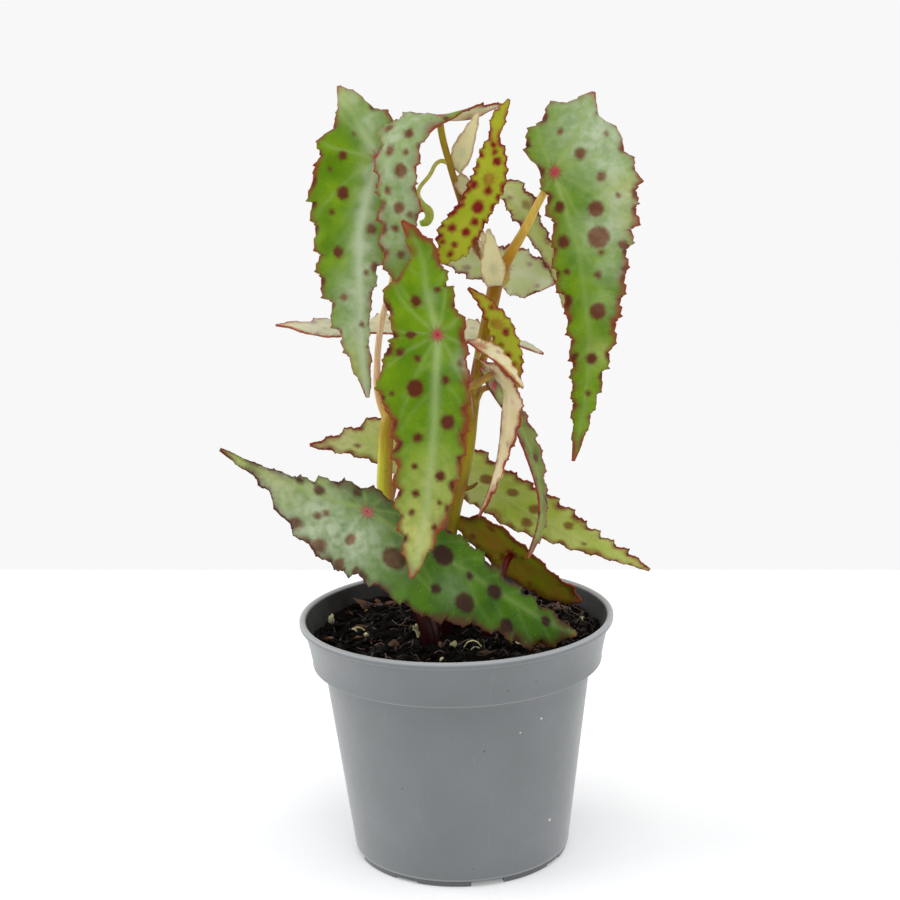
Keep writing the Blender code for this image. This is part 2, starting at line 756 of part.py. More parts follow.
def blade_object(name, blade, segments, thickness, home):
    """The blade as a sheet of triangles, given its thickness evenly on both sides."""
    work = bmesh.new()
    bmesh.ops.create_grid(work, x_segments=segments, y_segments=blade.rows, size=1.0)
    for vertex in work.verts:
        row = round((vertex.co.y + 1) / 2 * blade.rows)
        vertex.co = Vector(blade.point(row, vertex.co.x)) * MM
    mesh = bpy.data.meshes.new(name)
    work.to_mesh(mesh)
    work.free()
    obj = mesh_object(name, mesh, home)
    obj.modifiers.new("triangles", "TRIANGULATE")
    solid = obj.modifiers.new("thickness", "SOLIDIFY")
    solid.thickness = thickness * MM
    solid.offset = 0.0
    return obj


def tube(name, path, home, sides=1):
    """A round stem through (x, y, z, radius) points in millimetres."""
    curve = bpy.data.curves.new(name, "CURVE")
    curve.dimensions = "3D"
    curve.bevel_depth = MM
    curve.bevel_resolution = sides
    curve.resolution_u = 2
    curve.use_fill_caps = True
    spline = curve.splines.new("BEZIER")
    spline.bezier_points.add(len(path) - 1)
    for point, (x, y, z, radius) in zip(spline.bezier_points, path):
        point.co = (x * MM, y * MM, z * MM)
        point.radius = radius
        point.handle_left_type = point.handle_right_type = "AUTO"
    return made_mesh(mesh_object(name, curve, home))


def united(name, pieces, look):
    """Joins the pieces into one solid."""
    body = pieces[0]
    others = collection(name + " pieces")
    for piece in pieces[1:]:
        for home in piece.users_collection:
            home.objects.unlink(piece)
        others.objects.link(piece)
    modifier = body.modifiers.new("join", "BOOLEAN")
    modifier.operation = "UNION"
    modifier.operand_type = "COLLECTION"
    modifier.collection = others
    body = made_mesh(body)
    for piece in list(others.objects):
        bpy.data.objects.remove(piece)
    bpy.data.collections.remove(others)
    body.name = name
    smooth_round(body.data)
    body.data.materials.append(look)
    return body


def rooted(foot, path):
    """A stem's path with its straight length in the soil put before it."""
    x, y, radius = foot
    heights = (SOIL_TOP - SOIL_SINK, SOIL_TOP - 5, SOIL_TOP + 2)
    return (*((x, y, height, radius) for height in heights), *path)


def stalk(leaf, path, blades, home, sides=1):
    radius = path[-1][3]
    ends = [(*place, radius) for place in blades[leaf].stalk_end(radius)]
    return tube("stalk to " + leaf, (*path, *ends), home, sides)


def stipule(root, tip, half_width, face, home):
    """A small papery scale, widest near its root."""
    root, tip = np.array(root, float), np.array(tip, float)
    shares = ((0.0, 0.6), (0.3, 1.0), (0.65, 0.6), (1.0, 0.12))
    spine = [(*(root + (tip - root) * t), half_width * w, half_width * w) for t, w in shares]
    entry = {
        "spine": spine,
        "faces": (face, face),
        "fold": 0.3,
        "wave": 0.0,
        "star": 1,
        "tooth": 0.0,
        "pitch": np.linalg.norm(tip - root) / 3,
        "seed": 1,
    }
    return made_mesh(blade_object("stipule", Blade(entry), 2, BLADE_THICKNESS, home))


def make_leaves(blades, home):
    green = material("green leaf", (0.11, 0.3, 0.05), 0.45)
    young = material("young leaf", (0.4, 0.42, 0.04), 0.45)
    dark = material("dark leaf", (0.1, 0.1, 0.02), 0.5)
    looks = {"leaf_young_top": young, "leaf_young_low": young, "leaf_low_dark": dark}
    for name, blade in blades.items():
        segments = 4 if blade.spine[:, 3:].max() > 4.5 else 2
        leaf = blade_object(name, blade, segments, BLADE_THICKNESS, home)
        leaf.data.materials.append(looks.get(name, green))


def make_stems(blades, home):
    cane = material("ochre cane", (0.4, 0.2, 0.04), 0.4)
    red = material("dark red stalk", (0.16, 0.02, 0.01), 0.4)
    pieces = [tube("cane", rooted(MAIN_CANE_FOOT, MAIN_CANE), home, 2)]
    pieces += [stalk(leaf, path, blades, home) for leaf, path in MAIN_CANE_STALKS.items()]
    pieces += [tube("bud", BUD_STALK, home), tube("stub", STUB, home)]
    pieces += [stipule(*entry, home) for entry in STIPULES]
    united("cane_main", pieces, cane)
    pieces = [tube("cane", rooted(SECOND_CANE_FOOT, SECOND_CANE), home, 2)]
    pieces += [stalk(leaf, path, blades, home) for leaf, path in SECOND_CANE_STALKS.items()]
    united("cane_second", pieces, cane)
    made = stalk("leaf_low_dark", rooted(DARK_STALK_FOOT, DARK_STALK), blades, home)
    made.name = "stalk_low_dark"
    smooth_round(made.data)
    made.data.materials.append(red)


def main():
    for obj in list(bpy.data.objects):
        bpy.data.objects.remove(obj)
    home = collection("potted begonia")
    make_pot(home)
    make_soil(home)
    blades = {name: Blade(entry) for name, entry in LEAVES.items()}
    make_leaves(blades, home)
    make_stems(blades, home)


main()
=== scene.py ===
"""Potted begonia: spotted, toothed leaves on two jointed canes, growing in a grey nursery pot of peat."""

import math
import random

import bmesh
import bpy
import numpy as np
from mathutils import Matrix, Vector, kdtree, noise


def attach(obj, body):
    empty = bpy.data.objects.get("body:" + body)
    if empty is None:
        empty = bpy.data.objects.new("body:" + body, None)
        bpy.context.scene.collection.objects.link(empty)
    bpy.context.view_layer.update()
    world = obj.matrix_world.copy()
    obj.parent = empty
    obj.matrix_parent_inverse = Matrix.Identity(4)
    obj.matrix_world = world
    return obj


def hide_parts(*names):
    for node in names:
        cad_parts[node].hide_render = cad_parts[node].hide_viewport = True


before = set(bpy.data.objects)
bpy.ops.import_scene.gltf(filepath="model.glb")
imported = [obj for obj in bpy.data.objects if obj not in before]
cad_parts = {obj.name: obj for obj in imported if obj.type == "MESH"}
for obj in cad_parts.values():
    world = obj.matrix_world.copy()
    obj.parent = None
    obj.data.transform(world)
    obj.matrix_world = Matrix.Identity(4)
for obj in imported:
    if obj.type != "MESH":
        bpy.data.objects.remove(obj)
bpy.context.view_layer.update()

# Nursery pot
# A thin-walled grower's pot with a stepped collar and a rolled lip, injection-moulded in one piece of
# grey polypropylene. Its foot ring has drain notches, and the wall is dull with fine scratches.
MM = 0.001
POT_STEPS = 160
RIM_RADIUS = 45.0
COLLAR_TOP = 68.9
FOOT_RADIUS = 30.7
FOOT_WIDTH = 2.4
BASE_UNDERSIDE = 2.0
BASE_TOP = 3.2
INNER_WALL = (
    (28.6, BASE_TOP), (29.6, BASE_TOP + 0.4), (30.3, BASE_TOP + 1.3), (36.9, 54.4), (37.1, 55.5),
    (37.6, 56.2), (39.6, 57.6), (40.1, 58), (40.25, 58.7), (42.7, COLLAR_TOP), (43.1, 70), (43.5, 70.5),
)
# Radius and height, from the middle of the underside round the outside and back down to the floor
POT_PROFILE = (
    (1, BASE_UNDERSIDE), (20, BASE_UNDERSIDE), (FOOT_RADIUS - FOOT_WIDTH - 0.4, BASE_UNDERSIDE),
    (FOOT_RADIUS - FOOT_WIDTH - 0.1, BASE_UNDERSIDE - 0.2), (FOOT_RADIUS - FOOT_WIDTH, 0.25),
    (FOOT_RADIUS - FOOT_WIDTH + 0.25, 0), (FOOT_RADIUS - 0.3, 0), (FOOT_RADIUS, 0.3),
    (FOOT_RADIUS + 0.04, 1.7), (FOOT_RADIUS + 0.1, 1.85), (31.15, 1.95), (31.3, 2.15), (31.45, 3.2),
    (34.6, 28), (37.9, 53.6), (38.05, 55.4), (38.4, 56.1), (39.6, 56.8), (41.1, 57.1), (41.5, 57.35),
    (41.6, 57.7), (41.5, 58.3), (42.4, 63), (43.6, 68.3), (43.8, 68.65), (44.6, COLLAR_TOP), (44.9, 69.1),
    (RIM_RADIUS, 69.4), (RIM_RADIUS, 70.3), (44.85, 70.6), (44.5, 70.8), (43.9, 70.8),
    *reversed(INNER_WALL), (20, BASE_TOP), (1, BASE_TOP),
)
# Cutters: angle from the front, distance from the axis, width and depth
NOTCHES = [(angle, 9.6, 1.5) for angle in (13, 103, 193, 283)]
NOTCHES += [(angle, 7.4, 0.7) for angle in (58, 148, 238, 328)]
DRAIN_HOLES = [(0, 0)] + [(angle, 21.0) for angle in (13, 103, 193, 283)]
DRAIN_RADIUS = 3.4
CUTTER_EDGE = 0.25
# The inside is darkened with painted shade up to just under the lip
INSIDE_SHADE_TOP = 70.2
# Scuffs and specks on the front: x, y, z, radius, and whether it is pale
POT_MARKS = (
    (22.6, -29.7, 49, 0.42, True), (16.6, -33, 46.3, 0.32, True), (24.9, -21.9, 15.6, 0.6, True),
    (6.6, -35.8, 42.3, 0.4, False), (13.4, -39.8, 61, 0.35, False), (21, -36.8, 62.5, 0.3, False),
    (-16.3, -30.8, 30, 0.35, False), (2.9, -31.8, 5.9, 0.35, False),
)


def only(obj):
    """Selects this object alone, and makes it the active one."""
    bpy.ops.object.select_all(action="DESELECT")
    obj.select_set(True)
    bpy.context.view_layer.objects.active = obj


def start_piece(name, primitive, **place):
    """Adds a primitive with nothing else selected, and names it."""
    bpy.ops.object.select_all(action="DESELECT")
    primitive(**place)
    made = bpy.context.object
    made.name = made.data.name = name
    return made


def apply_modifier(obj, kind, **settings):
    """Adds a modifier with these settings, and applies it."""
    only(obj)
    modifier = obj.modifiers.new(kind.lower(), kind)
    for setting, value in settings.items():
        setattr(modifier, setting, value)
    bpy.ops.object.modifier_apply(modifier=modifier.name)


def set_place(obj):
    """Puts an object's place, turn and size into its mesh."""
    only(obj)
    bpy.ops.object.transform_apply(location=True, rotation=True, scale=True)


def smooth(obj):
    """Shades an object smooth all over."""
    only(obj)
    bpy.ops.object.shade_smooth()


def drill(steps, radius, depth, place):
    """An upright round cutter with its middle at this place."""
    made = start_piece(
        "drill",
        bpy.ops.mesh.primitive_cylinder_add,
        vertices=steps,
        radius=radius * MM,
        depth=depth * MM,
        location=place,
    )
    set_place(made)
    return made


def cut(obj, cutters):
    """Joins the cutters, and takes their shape out of an object."""
    only(cutters[0])
    for cutter in cutters:
        cutter.select_set(True)
    bpy.ops.object.join()
    apply_modifier(obj, "BOOLEAN", operation="DIFFERENCE", object=cutters[0], solver="EXACT")
    bpy.data.objects.remove(cutters[0])


def around(angle, radius):
    """The place at this angle from the front, turning towards +X, in metres."""
    turn = math.radians(angle)
    return radius * MM * math.sin(turn), -radius * MM * math.cos(turn)


def linear(colour):
    """An sRGB hex colour as linear red, green, blue and alpha."""
    parts = [int(colour[i : i + 2], 16) / 255 for i in (1, 3, 5)]
    return (*(p / 12.92 if p <= 0.04045 else ((p + 0.055) / 1.055) ** 2.4 for p in parts), 1.0)


def add_node(tree, kind, sockets, **settings):
    """Adds a shader node. Sockets gives each input a value, an output, or a node for its first output."""
    made = tree.nodes.new("ShaderNode" + kind)
    for setting, value in settings.items():
        setattr(made, setting, value)
    for name, value in sockets.items():
        if isinstance(value, bpy.types.Node):
            value = value.outputs[0]
        if isinstance(value, bpy.types.NodeSocket):
            tree.links.new(value, made.inputs[name])
        else:
            made.inputs[name].default_value = value
    return made


def new_finish(name, **sockets):
    """A material with these constants on its shader, as the material, its tree and its shader."""
    made = bpy.data.materials.new(name)
    made.use_nodes = True
    shader = made.node_tree.nodes["Principled BSDF"]
    for socket, value in sockets.items():
        shader.inputs[socket.replace("_", " ")].default_value = value
    return made, made.node_tree, shader


def fit(obj, body, slot, *nodes):
    """Lets a finished piece ride on its body and stand for its CAD nodes. Its slot is not used."""
    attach(obj, body)
    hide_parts(*nodes)


pot = start_piece(
    "nursery_pot",
    bpy.ops.mesh.primitive_circle_add,
    vertices=POT_STEPS,
    radius=POT_PROFILE[0][0] * MM,
    location=(0, 0, POT_PROFILE[0][1] * MM),
)
set_place(pot)
bpy.ops.object.mode_set(mode="EDIT")
bpy.ops.mesh.select_all(action="SELECT")
for (radius, height), (next_radius, next_height) in zip(POT_PROFILE, POT_PROFILE[1:]):
    rise = (0, 0, (next_height - height) * MM)
    bpy.ops.mesh.extrude_edges_move(TRANSFORM_OT_translate={"value": rise})
    grow = next_radius / radius
    bpy.ops.transform.resize(value=(grow, grow, 1), center_override=(0, 0, 0))
bpy.ops.mesh.select_all(action="SELECT")
bpy.ops.mesh.fill_holes(sides=0)
bpy.ops.mesh.select_all(action="SELECT")
bpy.ops.mesh.normals_make_consistent(inside=False)
bpy.ops.object.mode_set(mode="OBJECT")

cutters = []
for angle, width, depth in NOTCHES:
    notch = start_piece("notch", bpy.ops.mesh.primitive_cube_add, size=1)
    notch.scale = (width * MM, 3 * FOOT_WIDTH * MM, 2 * depth * MM)
    notch.rotation_euler.z = math.radians(angle)
    notch.location = (*around(angle, FOOT_RADIUS - FOOT_WIDTH / 2), 0)
    set_place(notch)
    apply_modifier(notch, "BEVEL", width=CUTTER_EDGE * MM, segments=2)
    cutters.append(notch)
for angle, distance in DRAIN_HOLES:
    middle = (*around(angle, distance), (BASE_UNDERSIDE + BASE_TOP) / 2 * MM)
    cutters.append(drill(40, DRAIN_RADIUS, 4, middle))
cut(pot, cutters)
only(pot)
bpy.ops.object.shade_smooth_by_angle(angle=math.radians(40))

# The inside wall is marked for the painted shade
shaded_inside = pot.data.attributes.new("shaded_inside", "FLOAT", "POINT")
for vertex in pot.data.vertices:
    faces_in = vertex.normal.xy.dot(vertex.co.xy) < -0.2 * vertex.co.xy.length
    shaded_inside.data[vertex.index].value = faces_in and vertex.co.z < INSIDE_SHADE_TOP * MM

# Moulded polypropylene: an even mid grey, dull, with a soft broad gloss. Its skin is slightly grained,
# fine scratches run down it, and soil dust and a few pale scuffs show on it. Light is painted on it too:
# a painted highlight on the lip and on the step above the foot ring, painted shadow on the foot ring, and
# painted shade darkening the inside. Its clouds are 22 mm across, its scuffs 3 mm and its scratches
# 1 mm. The grain is drawn at 0.4 mm, coarser than it is, to show.
plastic, tree, shader = new_finish(
    "moulded grey polypropylene", IOR=1.49, Sheen_Weight=0.5, Sheen_Roughness=0.4
)
place = add_node(tree, "TexCoord", {}).outputs["Object"]
height = add_node(tree, "SeparateXYZ", {0: place}).outputs[2]
tall = add_node(tree, "Mapping", {"Vector": place, "Scale": (1, 1, 0.06)})
cloud = add_node(tree, "TexNoise", {"Vector": place, "Scale": 45, "Detail": 4})
streak = add_node(tree, "TexNoise", {"Vector": tall, "Scale": 900, "Detail": 3})
scuff = {"Vector": place, "Scale": 330, "Detail": 5, "Roughness": 0.7}
scuff = add_node(tree, "TexNoise", scuff)
speck = add_node(tree, "TexVoronoi", {"Vector": place, "Scale": 420, "Randomness": 1})
dust = add_node(tree, "MapRange", {0: speck, 1: 0.05, 2: 0.09, 3: 0.55, 4: 0})
chance = add_node(tree, "SeparateXYZ", {0: speck.outputs["Color"]})
rare = add_node(tree, "Math", {0: chance, 1: 0.86}, operation="GREATER_THAN")
# Where each layer shows, and its colour: clouds, scratches, scuffs, a painted highlight on the lip, a
# painted highlight on the step above the foot ring, painted shadow on the foot ring, and dust, with the
# laid marks after them
layers = [
    (add_node(tree, "MapRange", {0: cloud, 1: 0.35, 2: 0.65}), "#737678"),
    (add_node(tree, "MapRange", {0: streak, 1: 0.62, 2: 0.72, 3: 0, 4: 0.06}), "#a7abad"),
    (add_node(tree, "MapRange", {0: scuff, 1: 0.72, 2: 0.78, 3: 0, 4: 0.5}), "#c9cbcc"),
    # A painted highlight on the lip, one on the step above the foot ring, and painted shadow on the foot ring
    (add_node(tree, "MapRange", {0: height, 1: 0.0699, 2: 0.0705}), "#a0a3a5"),
    (add_node(tree, "MapRange", {0: height, 1: 0.0026, 2: 0.0021, 3: 0.0, 4: 0.5}), "#a4a8aa"),
    (add_node(tree, "MapRange", {0: height, 1: 0.0018, 2: 0.0016}), "#565a5c"),
    (add_node(tree, "Math", {0: dust, 1: rare}, operation="MULTIPLY"), "#3a332c"),
]
for x, y, z, radius, pale in POT_MARKS:
    spot = (x * MM, y * MM, z * MM)
    away = add_node(tree, "VectorMath", {0: place, 1: spot}, operation="DISTANCE").outputs["Value"]
    mark = add_node(tree, "MapRange", {0: away, 1: 0.4 * radius * MM, 2: radius * MM, 3: 0.8, 4: 0})
    layers.append((mark, "#e4e4e2" if pale else "#3a3836"))
colour = linear("#6c7071")
for layer, tone in layers:
    steps = {0: layer, 6: colour, 7: linear(tone)}
    colour = add_node(tree, "Mix", steps, data_type="RGBA").outputs[2]
tree.links.new(colour, shader.inputs["Base Color"])
dull = add_node(tree, "MapRange", {0: scuff, 1: 0.3, 2: 0.7, 3: 0.42, 4: 0.56})
tree.links.new(dull.outputs[0], shader.inputs["Roughness"])
grain = add_node(tree, "TexNoise", {"Vector": place, "Scale": 2400, "Detail": 2})
relief = add_node(tree, "Math", {0: grain, 1: streak}, operation="ADD")
bump = add_node(tree, "Bump", {"Strength": 0.25, "Distance": 0.00008, "Height": relief})
tree.links.new(bump.outputs[0], shader.inputs["Normal"])
# The inside is darkened with painted shade: a flat dark matt layer over the plastic, uneven in clouds
inside_shade = add_node(tree, "Attribute", {}, attribute_name="shaded_inside").outputs["Fac"]
blotchy = add_node(tree, "MapRange", {0: cloud, 1: 0.3, 2: 0.7, 3: 0.75, 4: 0.96})
inside_shade = add_node(tree, "Math", {0: inside_shade, 1: blotchy}, operation="MULTIPLY")
painted_veil = add_node(tree, "BsdfDiffuse", {"Color": linear("#1e1a16")})
both = add_node(tree, "MixShader", {0: inside_shade, 1: shader, 2: painted_veil})
tree.links.new(both.outputs[0], tree.nodes["Material Output"].inputs["Surface"])
pot.data.materials.append(plastic)
fit(pot, "root", "pot", "pot")

# Peat
# Black peat fills the pot to a few millimetres under its rim. It was tipped in and pressed down by hand,
# so its top is lumpy and crumbly, and the canes stand in it.
PEAT_TOP = 64.6
PEAT_EDGE = 41.3
PEAT_STEPS = 170
# Radius and height of the pressed block below its top, down to the pot's base
PEAT_SIDES = (
    (41, 63), (39.9, 58.9), (39.3, 57.8), (36.8, 56), (36.5, 54), (30, 4.2), (27, 3.6), (2, 3.6),
)
# Foot of each stem: x, y and radius
STEM_FEET = ((-3, 1.5, 2.4), (-7.5, -9, 2.8), (9, -2.5, 1.3))
# The holes for the stems: how much wider than a stem, the height of their floor, and the cutter's length
HOLE_CLEARANCE = 0.3
HOLE_FLOOR = 44.3
HOLE_CUTTER = 60


def peat_height(x, y):
    """The height of the peat's broad lumps and crumbly skin at a place, all in millimetres."""
    broad = 1.5 * noise.noise(Vector((x, y, 3.0)) / 7) + 0.012 * (x + y)
    crumbly = 0.75 * noise.noise(Vector((x, y, 9.0)) / 2.4) + 0.4 * noise.noise(Vector((x, y, 5.0)))
    return PEAT_TOP + broad + crumbly


peat = start_piece(
    "peat",
    bpy.ops.mesh.primitive_grid_add,
    x_subdivisions=PEAT_STEPS,
    y_subdivisions=PEAT_STEPS,
    size=2,
)
for vertex in peat.data.vertices:
    u, v = vertex.co.x, vertex.co.y
    x = PEAT_EDGE * u * math.sqrt(1 - v * v / 2)
    y = PEAT_EDGE * v * math.sqrt(1 - u * u / 2)
    vertex.co = Vector((x, y, peat_height(x, y))) * MM
bpy.ops.object.mode_set(mode="EDIT")
bpy.ops.mesh.select_all(action="DESELECT")
bpy.ops.mesh.select_non_manifold()
radius = PEAT_EDGE
for next_radius, height in PEAT_SIDES:
    bpy.ops.mesh.extrude_edges_move(TRANSFORM_OT_translate={"value": (0, 0, -1 * MM)})
    grow = next_radius / radius
    bpy.ops.transform.resize(value=(grow, grow, 0), center_override=(0, 0, height * MM))
    radius = next_radius
bpy.ops.mesh.edge_face_add()
bpy.ops.mesh.select_all(action="SELECT")
bpy.ops.mesh.normals_make_consistent(inside=False)
bpy.ops.object.mode_set(mode="OBJECT")
cutters = []
for x, y, radius in STEM_FEET:
    middle = (x * MM, y * MM, (HOLE_FLOOR + HOLE_CUTTER / 2) * MM)
    cutters.append(drill(28, radius + HOLE_CLEARANCE, HOLE_CUTTER, middle))
cut(peat, cutters)
smooth(peat)

# Peat is black-brown, rough from crumbs of 1.4 mm and less, with a wet gloss in patches of 8 mm.
peat_look, tree, shader = new_finish("damp black peat", IOR=1.4, Specular_IOR_Level=0.1)
place = add_node(tree, "TexCoord", {}).outputs["Object"]
crumb = add_node(tree, "TexNoise", {"Vector": place, "Scale": 700, "Detail": 6, "Roughness": 0.65})
patch = add_node(tree, "TexNoise", {"Vector": place, "Scale": 130, "Detail": 3})
mixed = add_node(tree, "Math", {0: crumb, 1: patch}, operation="MULTIPLY")
share = add_node(tree, "MapRange", {0: mixed, 1: 0.17, 2: 0.38})
earth = {0: share, 6: linear("#020101"), 7: linear("#0f0a07")}
earth = add_node(tree, "Mix", earth, data_type="RGBA").outputs[2]
tree.links.new(earth, shader.inputs["Base Color"])
damp = add_node(tree, "MapRange", {0: patch, 1: 0.4, 2: 0.6, 3: 0.55, 4: 0.9})
tree.links.new(damp.outputs[0], shader.inputs["Roughness"])
bump = add_node(tree, "Bump", {"Strength": 0.9, "Distance": 0.0005, "Height": crumb})
tree.links.new(bump.outputs[0], shader.inputs["Normal"])
peat.data.materials.append(peat_look)
fit(peat, "root", "soil", "soil")

# Crumbs, bark and perlite
# Loose bits lie on the peat: its own crumbs, shreds of bark, and pale grains of perlite, which is
# volcanic glass puffed by heat. Each is one lump shape, copied at its own size and turn.
CRUMB_COUNT = 1500
BARK_COUNT = 40
GRAIN_COUNT = 34
# The widest ring that they lie in
LAID_EDGE = 40.3
# Laid where they show from the front: x, y, length, width, height and lean
LAID_GRAINS = (
    (-36.5, 9.5, 1.7, 1.3, 3.4, 0.1), (-30, 5, 2, 1.4, 1.5, 0.4), (-26, -1, 1.7, 1.4, 1.3, 0.7),
    (-11.6, 1, 1.5, 1, 3.4, 0.5), (-9.6, 1.5, 1.3, 1, 2.6, -0.6), (-1, -12, 1.7, 1.3, 2.2, 0.3),
    (5.5, -14.5, 3.4, 1.1, 1.2, 0.1), (17.5, -12.5, 3, 2, 1.9, 0.5), (20.5, -10, 1.6, 1.2, 1.2, 0.2),
)
LAID_BARK = (
    (-27, 25.5, 7.5, 3.6, 2.2, 0.3), (-20.5, 29.5, 7, 2.6, 1.8, -0.3), (-31, 20, 4.6, 2.4, 1.6, 0.9),
    (-14.5, 30, 5, 2, 1.6, 0.5), (2.5, 5, 6.5, 3, 2.4, 0.2), (8.5, 3, 5, 2.4, 2, -0.4),
    (7.8, -20.5, 4.8, 1.7, 1.1, 0.1), (-4.6, -13.5, 2.6, 1.8, 2, 0.8), (4.5, 7.5, 4.6, 2.2, 2, 0.5),
    (12.5, 24, 3.8, 1.8, 1.4, 0.4), (-17, -16, 3, 1.4, 1, 1.1), (27, -14, 3.2, 1.5, 1, -0.7),
)


def lump_mesh(name, rounds, roughness, seed):
    """A knobbly lump a millimetre in radius, as a mesh to copy."""
    lump = start_piece(name, bpy.ops.mesh.primitive_ico_sphere_add, subdivisions=rounds, radius=1)
    for vertex in lump.data.vertices:
        dent = noise.noise(vertex.co * 1.3 + Vector((seed, 0, 0)))
        dent += 0.5 * noise.noise(vertex.co * 3.1 + Vector((0, seed, 0)))
        vertex.co *= 1 + roughness * dent
    mesh = lump.data
    bpy.data.objects.remove(lump)
    return mesh


def scatter(name, shapes, places):
    """One piece of many copies. Each place is a shape's number, a point, three sizes and three turns."""
    work = bmesh.new()
    for number, point, size, turns in places:
        turn = Matrix.Rotation(turns[2], 4, "Z") @ Matrix.Rotation(turns[1], 4, "Y")
        turn = turn @ Matrix.Rotation(turns[0], 4, "X")
        copy = shapes[number % len(shapes)].copy()
        copy.transform(Matrix.Translation(point) @ turn @ Matrix.Diagonal((*size, 1)))
        work.from_mesh(copy)
        bpy.data.meshes.remove(copy)
    mesh = bpy.data.meshes.new(name)
    work.to_mesh(mesh)
    work.free()
    made = bpy.data.objects.new(name, mesh)
    bpy.context.collection.objects.link(made)
    return made


def clear_of_stems(x, y, room):
    """Whether a place is at least this far from every stem."""
    return all(math.hypot(x - sx, y - sy) > radius + room for sx, sy, radius in STEM_FEET)


def strewn(count, smallest, largest, flat, draw):
    """Random places on the peat, with most of the lumps small."""
    made = []
    while len(made) < count:
        distance, turn = LAID_EDGE * math.sqrt(draw.random()), draw.uniform(0, 2 * math.pi)
        x, y = distance * math.cos(turn), distance * math.sin(turn)
        size = smallest + (largest - smallest) * draw.random() ** 3
        distance_left = PEAT_EDGE - distance
        if not clear_of_stems(x, y, size) or distance_left < size:
            continue
        wide = [size * draw.uniform(0.7, 1.3) for _ in range(2)]
        high = size * flat * draw.uniform(0.7, 1.2)
        point = Vector((x, y, peat_height(x, y) + 0.25 * high)) * MM
        sizes = (wide[0] * MM, wide[1] * MM, high * MM)
        turns = (draw.uniform(-0.5, 0.5), draw.uniform(-0.5, 0.5), draw.uniform(0, 6.28))
        made.append((draw.randrange(4), point, sizes, turns))
    return made


def laid(rows):
    """The places of the lumps that are laid one by one."""
    made = []
    for number, (x, y, long, wide, high, turn) in enumerate(rows):
        point = Vector((x, y, peat_height(x, y) + 0.35 * high)) * MM
        made.append((number, point, (long / 2 * MM, wide / 2 * MM, high / 2 * MM), (0.2, turn, turn)))
    return made


def mottled(name, scale, detail, limits, colours, relief=None, **sockets):
    """A finish of two colours in soft patches. Relief is a pattern, its sockets and its strength."""
    made, tree, shader = new_finish(name, **sockets)
    place = add_node(tree, "TexCoord", {}).outputs["Object"]
    patch = add_node(tree, "TexNoise", {"Vector": place, "Scale": scale, "Detail": detail})
    share = add_node(tree, "MapRange", {0: patch, 1: limits[0], 2: limits[1]})
    steps = {0: share, 6: linear(colours[0]), 7: linear(colours[1])}
    mixed = add_node(tree, "Mix", steps, data_type="RGBA").outputs[2]
    tree.links.new(mixed, shader.inputs["Base Color"])
    if relief:
        pattern, pattern_sockets, strength = relief
        rough = add_node(tree, pattern, {"Vector": place, **pattern_sockets})
        bump = add_node(tree, "Bump", {"Strength": strength, "Distance": 0.0002, "Height": rough})
        tree.links.new(bump.outputs[0], shader.inputs["Normal"])
    return made


draw = random.Random(31)
small = [lump_mesh("crumb", rounds=1, roughness=0.55, seed=seed) for seed in range(4)]
loose = strewn(CRUMB_COUNT, smallest=0.35, largest=1.5, flat=0.8, draw=draw)
crumbs = scatter("peat_crumbs", small, loose)
crumbs.data.materials.append(peat_look)
fit(crumbs, "root", "soil", "soil")

shards = [lump_mesh("shard", rounds=1, roughness=0.95, seed=seed + 3) for seed in range(4)]
loose = strewn(BARK_COUNT, smallest=0.6, largest=2.2, flat=0.4, draw=draw)
bark = scatter("bark_bits", shards, laid(LAID_BARK) + loose)
# Composted bark is red-brown and dull, darker where it is wet, and split along its grain.
bark_look = mottled(
    "composted bark",
    scale=160,
    detail=4,
    limits=(0.46, 0.72),
    colours=("#2a170d", "#80522a"),
    relief=("TexNoise", {"Scale": 1300, "Detail": 3}, 0.8),
    IOR=1.45,
    Roughness=0.7,
)
bark.data.materials.append(bark_look)
fit(bark, "root", "soil", "soil")

fine = [lump_mesh("grain", rounds=2, roughness=0.5, seed=seed + 7) for seed in range(4)]
loose = strewn(GRAIN_COUNT, smallest=0.4, largest=1.1, flat=0.9, draw=draw)
grains = scatter("perlite", fine, laid(LAID_GRAINS) + loose)
# Perlite is a chalky foam of glass with pores of 0.4 mm, dull and cream, and peat stains it ochre.
perlite_look = mottled(
    "stained perlite",
    scale=220,
    detail=4,
    limits=(0.4, 0.65),
    colours=("#d9d3ae", "#8f7d3f"),
    relief=("TexVoronoi", {"Scale": 2600}, 0.6),
    IOR=1.5,
    Roughness=0.75,
)
grains.data.materials.append(perlite_look)
smooth(grains)
fit(grains, "root", "soil", "soil")

# Fibres
# Thin curled shreds of peat moss, which came with the peat. They stand out of its surface, thickest in a
# tuft at the right-hand wall.
FIBRE_COUNT = 190
FIBRE_RADIUS = 0.13
FIBRE_REACH = 40
# The tuft is all that lies right of and behind this place
TUFT_CORNER = (29, -6)


def thread(name, paths, sides, steps=6):
    """Round strands through points of x, y, z and radius in millimetres, as one mesh."""
    bpy.ops.object.select_all(action="DESELECT")
    bpy.ops.curve.primitive_bezier_curve_add()
    made = bpy.context.object
    made.name = made.data.name = name
    curve = made.data
    curve.splines.clear()
    curve.bevel_depth = MM
    curve.bevel_resolution = sides
    curve.resolution_u = steps
    curve.use_fill_caps = True
    for path in paths:
        spline = curve.splines.new("BEZIER")
        spline.bezier_points.add(len(path) - 1)
        for point, (x, y, z, radius) in zip(spline.bezier_points, path):
            point.co = (x * MM, y * MM, z * MM)
            point.radius = radius
            point.handle_left_type = point.handle_right_type = "AUTO"
    only(made)
    bpy.ops.object.convert(target="MESH")
    return bpy.context.object


